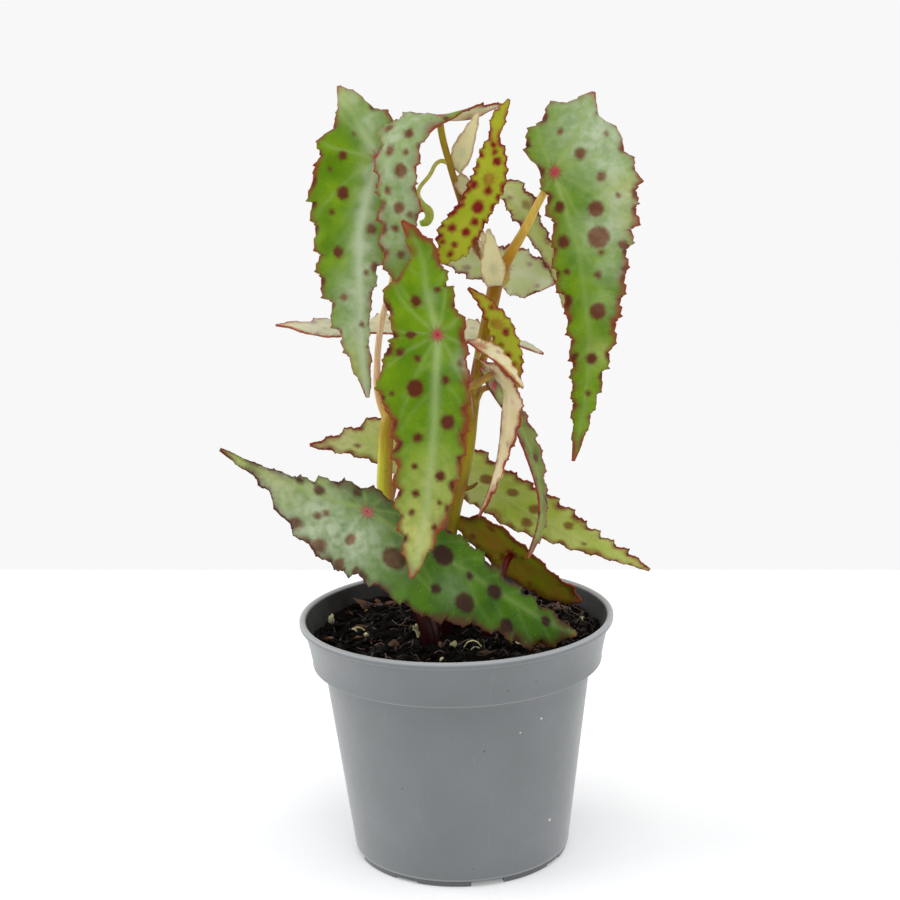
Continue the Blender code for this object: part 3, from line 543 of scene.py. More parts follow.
strands = []
while len(strands) < FIBRE_COUNT:
    distance, turn = FIBRE_REACH * math.sqrt(draw.random()), draw.uniform(0, 2 * math.pi)
    x, y = distance * math.cos(turn), distance * math.sin(turn)
    in_tuft = x > TUFT_CORNER[0] and y > TUFT_CORNER[1]
    if not in_tuft and draw.random() < 0.86 or not clear_of_stems(x, y, 1.5):
        continue
    heading, path = draw.uniform(0, 6.28), []
    for step in range(5):
        lift = draw.uniform(-0.1, 1.4)
        path.append((x, y, peat_height(x, y) + lift, FIBRE_RADIUS * draw.uniform(0.5, 1.2)))
        heading += draw.uniform(-0.9, 0.9)
        stride = draw.uniform(0.8, 2.4)
        x, y = x + stride * math.cos(heading), y + stride * math.sin(heading)
        if math.hypot(x, y) > FIBRE_REACH + 0.5:
            heading += 2.6
            x, y = x * 0.96, y * 0.96
    strands.append(path)
fibres = thread("peat_fibres", strands, sides=1, steps=4)
# Dead moss fibre is dull and red-brown, and pale along the stretches that have dried out.
fibre_look = mottled(
    "peat moss fibre",
    scale=90,
    detail=2,
    limits=(0.4, 0.65),
    colours=("#20130f", "#88685c"),
    IOR=1.45,
    Roughness=0.6,
)
fibres.data.materials.append(fibre_look)
fit(fibres, "root", "soil", "soil")

# Moss shoot and roots
# A forked shoot of moss has come up through the peat in front of the canes, and the ends of two dead
# roots lie on it. All are soft plant tissue, round and a few tenths of a millimetre thick.
PALE_STRANDS = (
    ((-10.9, -5, 64.4, 0.45), (-11.2, -5, 66.6, 0.45), (-12.4, -5.3, 68.6, 0.3)),
    ((-11.1, -5, 66, 0.4), (-9.7, -5.1, 67.4, 0.4), (-8.9, -5.3, 69, 0.25)),
    ((2, -13, 64.6, 0.2), (3.2, -13.4, 66.2, 0.2), (5.2, -13.6, 66.4, 0.2), (6.9, -13.8, 64.8, 0.2)),
    ((-30.5, 3, 65, 0.2), (-28.5, 2.4, 66.2, 0.2), (-26.6, 2.6, 65.2, 0.2)),
)
shoots = thread("pale_shoots", PALE_STRANDS, sides=3)
# Bleached tissue is straw-coloured and soft-looking, with a low gloss.
shoot_look = mottled(
    "bleached moss and root",
    scale=400,
    detail=2,
    limits=(0.35, 0.65),
    colours=("#b8ac62", "#e6e0b4"),
    IOR=1.45,
    Roughness=0.55,
)
shoots.data.materials.append(shoot_look)
smooth(shoots)
fit(shoots, "root", "soil", "soil")

# Leaf blades
# Each leaf is one thin blade, peltate: its stalk joins its underside at a star from which the veins
# spread to two pointed ends. The margin is cut into uneven teeth, waved, and edged in red-brown.
BLADE_THICKNESS = 0.5
CAD_THICKNESS = 0.7
TOOTH_PITCH = 8.5
TOOTH_DEPTH = 2.4
TOOTH_LEAN = 0.24
NICK_DEPTH = 0.42
LEAST_WIDTH = 0.35
# Each spine runs from the short tip to the long tip: x, y, z, half-width left, half-width right.
# "star" counts to the point of it where the stalk joins, and "aside" is how far to the right of it.
# "faces" is where the upper side looks, "fold" lifts the two halves and "wave" ripples the margins.
# "spots" are laid out from the star: along towards the long tip, across to the right, and radius.
# The sheen patches, a grey-white painted sheen, and "pale", patches of painted light, are soft patches
# laid out in the same way, with a reach and a strength. "pitch" and "tooth" are the teeth's spacing and
# depth, "rim" narrows the coloured edge, the midrib's strength paints a highlight along the midrib, "look"
# names the finish, and "seed" starts the leaf's random draws.
LEAVES = {
    "leaf_upper_left": dict(
        spine=(
            (-28, 4, 220, 0.5, 0.5), (-27, 2, 215.8, 1.6, 5), (-26.1, 0.2, 211.8, 3, 9.8),
            (-25.3, -1.5, 207.5, 8.2, 12.8), (-24.3, -3.5, 200.5, 11.2, 13), (-23.7, -4.5, 192, 14, 13),
            (-23.6, -5, 183, 13.2, 11), (-23.8, -5, 173.5, 12.6, 6.4), (-24, -4.5, 164, 10.3, 3.5),
            (-24.2, -3.5, 153.5, 7.4, 2.4), (-23.8, -2.5, 143.5, 3.3, 2.2), (-23, -2, 134.7, 0.5, 0.5),
        ),
        faces=((0, -0.9, 0.4), (-0.1, -1, 0.1), (-0.2, -0.95, -0.15)),
        spots=(
            (-1.6, -2.8, 1.3), (1.5, -6.8, 0.7), (8.7, -3.9, 1.9), (13.9, -7.3, 0.9), (-7, 1.1, 0.7),
            (18.6, 3.4, 1.5), (25, -5.9, 1.6), (30.5, 1.8, 0.8), (37.5, -4.5, 1.2), (45, 0.4, 0.9),
        ),
        painted_sheen=(
            (-17, 2, 5, 0.6), (-9, 6, 4, 0.7), (-2, 5, 3, 0.5), (4, 4, 3, 0.7), (10, 2.5, 3, 0.8),
            (16, 2, 3.4, 0.85), (23, 1, 4, 0.9), (30, 2, 5, 0.9), (37, -1, 6, 0.9), (46, 0, 7, 0.85),
        ),
        pale=((55, 0, 8, 0.5), (-20, 0, 6, 0.4)),
        star=4, aside=6.5, fold=-0.2, wave=0.8, pitch=7.5, rim=1.5, midrib_highlight=0.75, seed=11,
    ),
    "leaf_top_middle": dict(
        spine=(
            (16.2, 4, 213.7, 0.5, 0.5), (10.9, -1, 213.2, 4, 3.6), (5.2, -4, 212.4, 4.6, 4.6),
            (-0.7, -7, 211.8, 6, 4.5), (-4.5, -10, 211.3, 6, 5), (-9.1, -13, 207.6, 8, 5),
            (-11.6, -14, 202.3, 7.6, 6), (-12.3, -14.5, 195.7, 6.8, 5), (-12.6, -14.5, 187, 6, 6.6),
            (-12.8, -14, 181.9, 5.5, 3.6), (-13.1, -13.5, 173.8, 4.2, 3.8), (-13.1, -13, 166.1, 0.5, 0.5),
        ),
        faces=(
            (-0.1, 0.45, 0.9), (-0.1, 0.45, 0.9), (-0.1, 0.35, 0.95), (-0.15, -0.35, 0.9),
            (-0.2, -0.75, 0.65), (-0.3, -0.9, 0.35), (-0.3, -0.95, 0.1), (-0.2, -1, 0), (-0.15, -1, 0),
            (-0.1, -1, 0), (-0.1, -1, -0.1),
        ),
        spots=(
            (11.5, 0, 1.4), (12, -6, 1.1), (17, -3.1, 1.3), (16.3, 1.5, 0.9), (21.5, 0.8, 1.9),
            (27, -2.7, 1.1), (31.4, 0.4, 1.6), (33, 3.2, 0.9), (36.9, -0.7, 1.1), (44, 0.9, 1.2),
        ),
        painted_sheen=((6, -2, 6, 0.9), (14, -2, 8, 0.9), (22, 0, 7, 0.85), (31, 0, 7, 0.8), (40, 0, 6, 0.7)),
        star=3, fold=-0.12, wave=0.7, pitch=7, look="silver", seed=12,
    ),
    "leaf_front": dict(
        spine=(
            (-11.5, -20, 185.5, 0.5, 0.5), (-7.4, -22, 178.5, 2.8, 4), (-6, -23, 173.5, 4.6, 5),
            (-5.6, -24, 167.5, 11.4, 6.5), (-4.4, -25.4, 162.3, 11, 7.2), (-3, -27, 156, 12.6, 8),
            (-3.7, -31, 145, 15.6, 9.3), (-4, -32.8, 139.8, 15, 9.2), (-4.2, -33.4, 137.6, 12.8, 9.1),
            (-4.5, -35, 132.5, 11.5, 9), (-6, -39, 120, 9.5, 7.5), (-8, -42.5, 107.5, 6.8, 4.7),
            (-11.6, -46, 95, 0.5, 0.5),
        ),
        faces=((0, -1, 0.2), (0, -0.97, 0.25), (0, -0.95, 0.3), (0, -0.95, 0.3)),
        spots=(
            (-9.9, -3.3, 1.5), (-11.7, 2.9, 1), (-1, -7, 1.7), (5, -9.8, 1.2), (6.7, -5.2, 1.1),
            (14.4, -5.4, 2.4), (12.1, 2.5, 1.2), (23.2, 3.4, 2), (27.7, -4.1, 1.4), (37.3, 2.7, 1.5),
            (35.2, -4.3, 0.9), (42.4, -3.2, 1.1), (44.2, 3.2, 0.7), (47.7, -3.7, 0.9), (50.4, 2.8, 0.8),
            (7.2, 6.2, 0.9), (15.7, -11.5, 0.8),
        ),
        painted_sheen=((-10, 0.5, 2, 0.3), (7, 7, 3, 0.5)),
        pale=((54, 0, 13, 0.9), (40, 1, 9, 0.5)),
        star=5, fold=-0.15, wave=0.9, pitch=6.5, tooth=2.1, midrib_highlight=0.2, seed=13,
    ),
    "leaf_right": dict(
        spine=(
            (41, 0, 216.7, 0.5, 0.5), (39.6, -2.5, 211.5, 10.5, 2.6), (38, -5, 206, 15, 11),
            (36.6, -7.5, 200.3, 15.5, 15), (35.8, -8.5, 195.5, 11.5, 17), (35.2, -9, 189, 8.8, 17),
            (35.2, -9, 181, 7.2, 17), (36.2, -9, 172, 7.4, 13), (37, -8.7, 165.5, 7.4, 12),
            (37.7, -8, 159, 5.6, 10), (38.5, -7, 153, 6.2, 8), (38.6, -4, 141, 5.3, 5),
            (36.7, -1, 126.5, 2.7, 2.7), (34.3, 2, 114, 0.5, 0.5),
        ),
        faces=(
            (0, -0.9, 0.45), (-0.1, -0.97, 0.2), (-0.05, -1, 0), (0, -1, -0.15), (0.1, -0.97, -0.2),
            (0.2, -0.95, -0.25),
        ),
        spots=(
            (-5.4, 0, 1.6), (8.8, -4.3, 1.5), (9.4, 5.4, 2.3), (17.7, -3.8, 1.8), (17.7, 5.7, 3.1),
            (0, 6.4, 1.4), (5.2, 11.2, 0.9), (-11, -6.5, 1), (34, -4.8, 1.6), (38, 3, 2.4),
            (51.5, 0.5, 1.7), (26, -4, 1), (28, 4.2, 1.1), (62, 0.4, 0.9), (22, 5.8, 0.9),
            (50.5, -4.2, 1.3), (20.5, 12.2, 1.6), (27, 12, 1.4), (-12.5, 5.6, 0.9), (57, 3.6, 1.1),
        ),
        painted_sheen=(
            (-13, 3, 12, 1), (-3, 8, 7, 0.9), (7, 11, 6, 0.8), (16, 8, 7, 0.9), (26, 8, 5, 0.55),
            (36, 5, 4, 0.3),
        ),
        pale=((4, 14, 6, 0.7), (14, 15, 5, 0.6), (50, 3, 4, 0.4)),
        star=4, aside=-6.2, fold=-0.22, wave=0.8, pitch=6.5, seed=14,
    ),
    "leaf_young_top": dict(
        spine=(
            (17.7, -10, 215.8, 0.4, 0.4), (14.8, -12, 210.6, 2.1, 1.9), (13.4, -13, 206, 1.6, 1.6),
            (13.2, -13.5, 203, 3.4, 3.2), (12.8, -14, 199.5, 4.2, 4), (12, -15, 195.5, 5, 4.6),
            (10.4, -15, 191.5, 5.2, 4.4), (8.2, -14.5, 187, 5.3, 4), (5, -14, 182, 6.2, 4.4),
            (2, -14, 177.5, 5.6, 4), (-1.6, -14, 173, 0.4, 0.4),
        ),
        faces=((0.1, -0.95, 0.25), (0, -1, 0.1), (0, -1, -0.05), (0, -1, 0)),
        spots=(
            (-9, 0, 1), (-7, 0.3, 1), (-4.7, 1.2, 1.3), (-6, -3.1, 1), (0.3, -0.3, 1.4), (3, -3.4, 1.2),
            (3.1, 0.6, 1.3), (8.1, -0.1, 1.8), (12.1, 1.1, 1.2), (16.6, -3.2, 1.3), (15.6, 0.6, 1.3),
            (9.5, -4.3, 1), (21.2, -3.2, 0.8), (20.1, -0.2, 1), (22.8, 0.3, 1),
        ),
        star=5, fold=0.1, wave=0.5, pitch=2.6, tooth=1, rim=1.5, look="young", seed=15,
    ),
    "leaf_low_front": dict(
        spine=(
            (-60.3, -40, 129.5, 0.5, 0.5), (-49.6, -39, 123, 3.5, 1.8), (-37.5, -37, 116.5, 12.5, 4.6),
            (-23, -34, 110, 18.5, 7.6), (-11.8, -34, 102, 17, 9), (-1.3, -33, 95.5, 17, 8.8),
            (10.6, -31, 86.5, 12, 6.3), (22.7, -28, 77.5, 8.8, 4), (33, -24, 71, 0.5, 0.5),
        ),
        faces=((0.45, -0.65, 0.6), (0.43, -0.73, 0.53), (0.45, -0.73, 0.5), (0.5, -0.75, 0.4)),
        spots=(
            (-14.1, 1.5, 1.6), (-20, 2.2, 1.2), (-3.9, 4, 1.2), (-13, -5.6, 1.1), (-10.9, -4.2, 1),
            (-17.3, -9.5, 1.9), (-10.4, -13.1, 2.1), (-2.1, -9, 1.8), (12.3, -7.1, 3), (-2.9, -16.4, 1.9),
            (5.4, -16.3, 1.6), (23.6, 0.5, 3), (25.5, -8.8, 1.6), (34.8, -7.9, 2.7), (41, -0.6, 2.3),
            (48, -7, 2), (58.5, -0.2, 1.6), (32.6, -0.7, 1.2),
        ),
        painted_sheen=(
            (-24, -4, 9, 0.55), (-12, -8, 11, 0.95), (0, -9, 10, 0.95), (10, -7, 6, 0.5), (30, -6, 5, 0.2),
        ),
        pale=((-42, 0, 14, 0.8), (-28, 0, 10, 0.6), (-16, 4, 6, 0.4)),
        star=3, fold=-0.12, wave=0.9, pitch=6.5, look="shaded", seed=16,
    ),
    "leaf_low_back": dict(
        spine=(
            (-41.2, 17, 117.3, 0.5, 0.5), (-31.2, 17, 117.8, 4, 4.4), (-21.2, 17, 116.8, 12, 7),
            (-12.8, 18, 114.3, 14, 9), (-3.6, 22, 109, 12.5, 8.2), (8, 27, 101.5, 11, 7.6),
            (21.6, 32, 91.8, 10, 7.4), (37, 37, 81.5, 7.2, 4.6), (49.3, 40, 75, 4, 2.2),
            (60.2, 43, 69, 0.5, 0.5),
        ),
        faces=((0, 0.87, 0.5), (-0.05, 0.87, 0.5), (-0.05, 0.9, 0.4)),
        spots=(
            (26.3, -3.3, 2.1), (35.6, -3.8, 1.8), (45.4, -2.5, 2.1), (46.5, 3.1, 1.8), (57.8, -3, 1.6),
            (14, -4, 1.6), (66, 0.5, 0.9), (4, -7, 1.6), (-8, -6, 1.4), (-15, 1, 1),
        ),
        pale=((-26, -4, 16, 0.8), (8, 6, 9, 0.8), (24, 6, 7, 0.5)),
        star=3, fold=-0.08, wave=0.8, pitch=6, tooth=1.7, seed=17,
    ),
    "leaf_back_right": dict(
        spine=(
            (9.5, 5, 190, 0.5, 0.5), (13.6, 6.5, 191, 2.8, 2.6), (17.5, 8, 189.5, 4.4, 3),
            (20.7, 9, 186, 4.8, 4.2), (23.3, 10, 181.5, 3.4, 3.6), (25.8, 11, 176, 3.4, 2.4),
            (29.8, 12, 169.5, 3, 2), (33, 13, 160.5, 3, 1.8), (35.5, 14, 152.5, 2, 1.4),
            (37.5, 14.5, 146, 0.4, 0.4),
        ),
        faces=((0.1, 0.97, 0.2), (0.2, 0.96, 0.17)),
        star=1, fold=0.15, wave=0.6, pitch=5, look="lime", seed=18,
    ),
    "leaf_back_middle": dict(
        spine=(
            (-3, 15, 171.6, 0.5, 0.5), (6, 15, 169.7, 5, 5.5), (16.6, 17, 167.4, 7.5, 7.2),
            (23, 19.5, 165.3, 6.5, 9), (27.5, 21.5, 163, 5, 6), (31, 25, 161.3, 0.5, 0.5),
        ),
        faces=((0, 0.87, 0.48), (-0.1, 0.87, 0.48)),
        star=2, fold=0.1, wave=0.6, pitch=4.5, look="pale", seed=19,
    ),
    "leaf_young_low": dict(
        spine=(
            (5.6, -11, 165.9, 0.4, 0.4), (9.6, -12, 162.1, 1.7, 1.8), (13.5, -13, 156.1, 3.3, 3.5),
            (16, -13, 150.1, 3.8, 3.4), (17.4, -12, 143.6, 3.2, 2.7), (18.7, -11, 138.1, 0.4, 0.4),
        ),
        faces=((-0.08, -1, 0.14), (0, -1, 0), (0.06, -1, -0.15)),
        spots=(
            (-4.8, 0.9, 0.8), (-0.5, -0.6, 1.1), (2.7, 0.8, 1.2), (5.6, -1.6, 0.7), (9.1, -0.7, 1.1),
            (12, 0.6, 0.8),
        ),
        star=2, fold=-0.2, wave=0.4, pitch=2.8, tooth=1.1, rim=1.5, look="young", seed=20,
    ),
    "leaf_back_left": dict(
        spine=(
            (-49.2, 14, 153.2, 0.4, 0.4), (-36, 14, 152.2, 5.5, 5), (-21.7, 14, 152, 9, 9),
            (-6.7, 14, 151.3, 9, 9), (8.4, 14, 149.4, 7.6, 8), (18.8, 14, 146.5, 4, 4),
            (27, 14, 142.8, 0.4, 0.4),
        ),
        faces=((0, -0.18, 1), (0, -0.22, 0.97), (0.2, -0.22, 0.95)),
        painted_sheen=((-24, 0, 16, 0.9), (0, 0, 16, 0.8), (24, 0, 16, 0.9)),
        star=3, fold=0.08, wave=1.2, look="cream", seed=21,
    ),
    "leaf_folded_small": dict(
        spine=(
            (5.2, -16, 152.1, 0.4, 0.4), (8.5, -17, 150.8, 2.8, 3.2), (12.8, -18, 148.1, 3, 3),
            (16.5, -18, 143.9, 2.2, 2.2), (19.7, -17, 139.1, 0.4, 0.4),
        ),
        faces=((0.33, -0.44, 0.83), (0.53, -0.5, 0.68), (0.7, -0.53, 0.48)),
        star=1, fold=0.2, wave=0.3, pitch=3.4, tooth=0.9, rim=1.5, look="cream", seed=22,
    ),
    "leaf_folded_left": dict(
        spine=(
            (8, -10, 146.4, 0.5, 0.5), (11.9, -11, 142.6, 4, 4.2), (15.9, -11.5, 136.1, 5.4, 5.6),
            (15.5, -11.5, 127.4, 5, 5.3), (13.9, -11, 119, 2.8, 4), (10.7, -11, 109.8, 1.8, 1.9),
            (7, -10, 101.5, 0.4, 0.4),
        ),
        faces=((0.8, 0.36, 0.5), (0.9, 0.4, 0.1), (0.9, 0.4, -0.2), (0.87, 0.4, -0.3)),
        star=1, fold=0.25, wave=0.5, pitch=5, tooth=1.1, look="cream", seed=23,
    ),
    "leaf_folded_right": dict(
        spine=(
            (8.2, -5, 142.8, 0.5, 0.5), (11.9, -2.5, 137, 3.6, 3.6), (17.2, 2, 128, 4.6, 4.8),
            (22, 2.5, 117.4, 4.6, 4.8), (24.6, 0, 106.6, 3.4, 3.8), (24.2, -5, 97.8, 2.6, 2.8),
            (20.2, -11, 89.3, 0.4, 0.4),
        ),
        faces=((0.8, -0.44, 0.4), (0.85, -0.42, 0.3), (0.88, -0.45, 0.1), (0.85, -0.5, -0.1)),
        star=1, fold=0.25, wave=0.5, pitch=5, tooth=1.1, look="pale", seed=24,
    ),
    "leaf_low_dark": dict(
        spine=(
            (-2, 10, 96.5, 0.5, 0.5), (3.5, 6, 95.5, 2.8, 4.5), (9, 2.5, 93, 7.8, 6.5),
            (16.4, 0.5, 87.7, 8.3, 8.3), (25.7, 0, 79.8, 6.8, 6), (31.5, 0, 75.9, 4.4, 4),
            (36, 0, 72.8, 0.5, 0.5),
        ),
        faces=((0.3, 0.8, 0.5), (0.37, 0.77, 0.5), (0.35, 0.8, 0.48)),
        star=3, fold=-0.25, wave=0.7, pitch=6, tooth=1.2, look="dark", seed=25,
    ),
}
# The sheet's fine rows from tooth to tooth, and the width of its cells
SUB_ROWS = 8
CELL = 0.55
# How round the fold is, how deep the skin dips beside a vein and how soon, and how the margin ripples
FOLD_ROUNDING = 1.2
QUILT = 0.4
QUILT_REACH = 2.2
RUFFLE = 0.5
WAVE_LENGTH = 36
# Over how long the midrib swings back from a star beside the spine, and how wide the painted highlight along
# it is
MIDRIB_SWING = 22
MIDRIB_HIGHLIGHT_WIDTH = 1.3
# The veins' spacing and width, how much wider the midrib is, and how far from the star they fade
VEIN_PITCH = 8.5
VEIN_WIDTH = 0.55
MIDRIB_WIDENING = 1.7
VEIN_FADE = 16
# Width in degrees of each of the star's rays
STAR_SPIKE = 11
# Size of the brown patches between teeth, spacing of spots laid by rule, and how much longer than
# wide a spot is
BAY_PATCH = 1.3
SPOT_PITCH = 6
SPOT_STRETCH = 1.1
# The distance that a point counts as having where nothing is near
FAR = 9.0
# Main veins from the star, in degrees from the long tip's direction, and side veins off the midrib.
# A vein bends by so many radians on each millimetre of its length.
VEIN_ANGLES = (32, 68, 108, 148)
VEIN_BEND = 0.022
VEIN_LENGTH = 26
SIDE_VEIN_ANGLE = 52
SIDE_VEIN_BEND = 0.035
SIDE_VEIN_LENGTH = 14


def along(knots, values, place):
    """Reads a smooth curve through the values, which stand at the knots."""
    values = np.asarray(values, float)
    i = min(max(int(np.searchsorted(knots, place, side="right")) - 1, 0), len(knots) - 2)
    span = knots[i + 1] - knots[i]
    share = (place - knots[i]) / span
    first, last = max(i - 1, 0), min(i + 2, len(knots) - 1)
    slope_a = (values[i + 1] - values[first]) / (knots[i + 1] - knots[first])
    slope_b = (values[last] - values[i]) / (knots[last] - knots[i])
    square, cube = share**2, share**3
    return (
        (2 * cube - 3 * square + 1) * values[i]
        + (cube - 2 * square + share) * span * slope_a
        + (3 * square - 2 * cube) * values[i + 1]
        + (cube - square) * span * slope_b
    )


def unit(vector):
    """The same direction with length one."""
    return vector / np.linalg.norm(vector)


class Blade:
    """A leaf's middle surface, in millimetres."""

    def __init__(self, entry):
        self.spine = np.array(entry["spine"], float)
        steps = np.linalg.norm(np.diff(self.spine[:, :3], axis=0), axis=1)
        self.knots = np.concatenate([[0.0], np.cumsum(steps)])
        self.length = self.knots[-1]
        self.faces = np.array(entry["faces"], float)
        self.fold = entry["fold"]
        self.wave = entry["wave"]
        self.star = self.knots[entry["star"]]
        self.aside = entry.get("aside", 0.0)
        self.tooth = entry.get("tooth", TOOTH_DEPTH)
        self.rows = 2 * round(self.length / entry.get("pitch", TOOTH_PITCH))
        self.pitch = 2 * self.length / self.rows
        draw = random.Random(entry["seed"])
        self.bite = [[draw.uniform(0.2, 1.0) for _ in range(self.rows + 1)] for _ in range(2)]
        self.shift = [draw.uniform(-0.25, 0.25) for _ in range(self.rows + 1)]
        self.phase = [draw.uniform(0, 2 * math.pi) for _ in range(2)]
        self.nick = [[draw.uniform(0.2, 1.0) for _ in range(8 * self.rows)] for _ in range(2)]

    def midrib(self, along_leaf):
        """How far across the midrib lies, on its way from a star beside the spine back to the spine."""
        return self.aside * max(0, 1 - abs(along_leaf) / MIDRIB_SWING) ** 1.5

    def frame(self, place):
        """The spine's point, its direction, the way across to the right, and the upper side's normal."""
        point = along(self.knots, self.spine[:, :3], place)
        ahead = along(self.knots, self.spine[:, :3], min(place + 0.5, self.length))
        behind = along(self.knots, self.spine[:, :3], max(place - 0.5, 0.0))
        forward = unit(ahead - behind)
        marks = np.linspace(0.0, self.length, len(self.faces))
        face = along(marks, self.faces, place)
        normal = unit(face - face.dot(forward) * forward)
        return point, forward, np.cross(normal, forward), normal

    def row_place(self, row):
        """Where a row of teeth stands along the spine, a little off the even pitch."""
        inner = 0 < row < self.rows
        return self.length * (row + (self.shift[row] if inner else 0.0)) / self.rows

    def tooth_at(self, row, side, width):
        """How far a row's margin stands out, and how far it leans along the spine."""
        if not 0 < row < self.rows:
            return 0.0, 0.0
        is_tip = (row + side) % 2 == 0
        room = min(width / (2.2 * self.tooth), 1)
        bite = self.bite[side][row] * self.tooth * room
        out = 0.35 * bite if is_tip else -0.65 * bite
        towards_end = min(max((self.row_place(row) - self.star) / 8, -1), 1)
        return out, is_tip * towards_end * TOOTH_LEAN * self.pitch * room

    def margin(self, row, share, side, width):
        """The margin between two rows: hooked teeth that point away from the star, and nicks along them."""
        out_a, lean_a = self.tooth_at(row, side, width)
        out_b, lean_b = self.tooth_at(row + 1, side, width) if share else (out_a, lean_a)
        number = 2 * (row + share)
        part = number % 1
        near, far, step = out_a, out_b, share
        if self.row_place(row) < self.star:
            near, far, step, part = out_b, out_a, 1 - share, 1 - part
        eased = 1 - (1 - step) ** (1.3 if far > near else 2.5)
        nick = self.nick[side][int(number)] * min(part, 4 * (1 - part))
        depth = NICK_DEPTH * self.tooth * min(width / (2.2 * self.tooth), 1)
        return near + (far - near) * eased - depth * nick, lean_a + (lean_b - lean_a) * share

    def rows_and_places(self):
        """Every fine row as its tooth row, the share of the way to the next, and its place."""
        made = []
        for row in range(self.rows):
            start, end = self.row_place(row), self.row_place(row + 1)
            for step in range(SUB_ROWS):
                share = step / SUB_ROWS
                made.append((row, share, start + (end - start) * share))
        return [*made, (self.rows, 0.0, self.length)]

    def widths(self, place):
        """The blade's half-widths to the left and the right, without teeth."""
        pair = [float(along(self.knots, self.spine[:, 3 + side], place)) for side in (0, 1)]
        return [max(width, LEAST_WIDTH) for width in pair]


def vein_lines(blade):
    """The midrib, the main veins from the star and the side veins: strength, then points along and across."""
    reach = max(blade.star, blade.length - blade.star)
    middle = [(t, blade.midrib(t)) for t in np.arange(-reach, reach, 1.0)]
    lines = [(1.0, middle)]
    for angle in VEIN_ANGLES:
        for side in (-1, 1):
            turn, line = math.radians(angle + 4 * side), [(0.0, blade.aside)]
            bend = VEIN_BEND if angle < 90 else -VEIN_BEND
            for _ in range(VEIN_LENGTH):
                t, v = line[-1]
                line.append((t + math.cos(turn), v + side * math.sin(turn)))
                turn -= bend * math.sin(turn)
            lines.append((0.55, line))
    for way, room in ((1, blade.length - blade.star), (-1, blade.star)):
        for number in range(1, int(room / VEIN_PITCH) + 1):
            for side in (-1, 1):
                t = way * VEIN_PITCH * (number + 0.25 * side)
                turn, line = math.radians(SIDE_VEIN_ANGLE), [(t, blade.midrib(t))]
                for _ in range(SIDE_VEIN_LENGTH):
                    t, v = line[-1]
                    line.append((t + way * math.cos(turn), v + side * math.sin(turn)))
                    turn -= SIDE_VEIN_BEND
                lines.append((0.4, line))
    return lines


def distance_to_line(points, line):
    """The distance from each point to a line through the given corners."""
    line = np.array(line)
    nearest = np.full(len(points), 1e3)
    for start, end in zip(line, line[1:]):
        step = end - start
        share = np.clip((points - start) @ step / step.dot(step), 0, 1)
        nearest = np.minimum(nearest, np.linalg.norm(points - start - share[:, None] * step, axis=1))
    return nearest


def spots_of(blade, entry):
    """The leaf's spots: those laid out, or some by rule, and brown patches in the bays between teeth."""
    draw = random.Random(entry["seed"] + 50)
    spots = list(entry.get("spots", ()))
    if not spots:
        for number in range(int(blade.length / SPOT_PITCH)):
            place = (number + draw.uniform(0.2, 0.8)) * SPOT_PITCH
            widths = blade.widths(place)
            side = number % 2
            across = (2 * side - 1) * widths[side] * draw.uniform(0.15, 0.75)
            spots.append((place - blade.star, across, draw.uniform(0.5, 1.3) * min(1, widths[side] / 4)))
    size = entry.get("patch", BAY_PATCH)
    for row in range(2, blade.rows - 2):
        place = blade.row_place(row)
        for side, width in enumerate(blade.widths(place)):
            if (row + side) % 2 and draw.random() < 0.85 and width > 2:
                across = (2 * side - 1) * (width - blade.bite[side][row] * blade.tooth * 0.7)
                radius = size * draw.uniform(0.5, 1.3) * min(1, width / 6)
                spots.append((place - blade.star, across, radius))
    return spots


def patches(grid, rows):
    """Soft round patches over the grid. Each row is a place along and across, a reach and a strength."""
    field = np.zeros(len(grid))
    for t, v, reach, strength in rows:
        away = np.hypot(grid[:, 0] - t, grid[:, 1] - v)
        field = np.maximum(field, strength * np.exp(-((away / reach) ** 2)))
    return field


def lay_out(blade, across, places):
    """The sheet's points in space, and each one's place along and across from the star."""
    points = np.zeros((len(places), len(across), 3))
    flat = np.zeros((len(places), len(across), 2))
    for i, (row, share, place) in enumerate(places):
        point, forward, right, normal = blade.frame(place)
        for side, width in enumerate(blade.widths(place)):
            half_row = across > 0 if side else across <= 0
            edge = np.abs(across[half_row])
            tooth_out, tooth_lean = blade.margin(row, share, side, width)
            toward_margin = np.clip((edge - 0.5) / 0.5, 0, 1) ** 1.6
            out = width * edge + tooth_out * toward_margin
            rounding = min(FOLD_ROUNDING, width / 3)
            lift = blade.fold * (np.sqrt(out**2 + rounding**2) - rounding)
            turns = 2 * math.pi * place / WAVE_LENGTH + blade.phase[side]
            lift = lift + blade.wave * min(width / 8, 1) * edge**2 * math.sin(turns)
            lift = lift + RUFFLE * tooth_out * edge**4
            signed = out * (1 if side else -1)
            spot = point + np.outer(signed, right) + np.outer(lift, normal)
            points[i, half_row] = spot + np.outer(tooth_lean * toward_margin, forward)
            flat[i, half_row, 0] = place - blade.star
            flat[i, half_row, 1] = signed
    return points, flat.reshape(-1, 2)


def margin_distance(points):
    """How far each of the sheet's points is from its outline."""
    outline = [*points[:, 0], *points[:, -1], *points[0], *points[-1]]
    rim = kdtree.KDTree(len(outline))
    for number, corner in enumerate(outline):
        rim.insert(Vector(corner), number)
    rim.balance()
    return np.array([rim.find(Vector(corner))[2] for corner in points.reshape(-1, 3)])


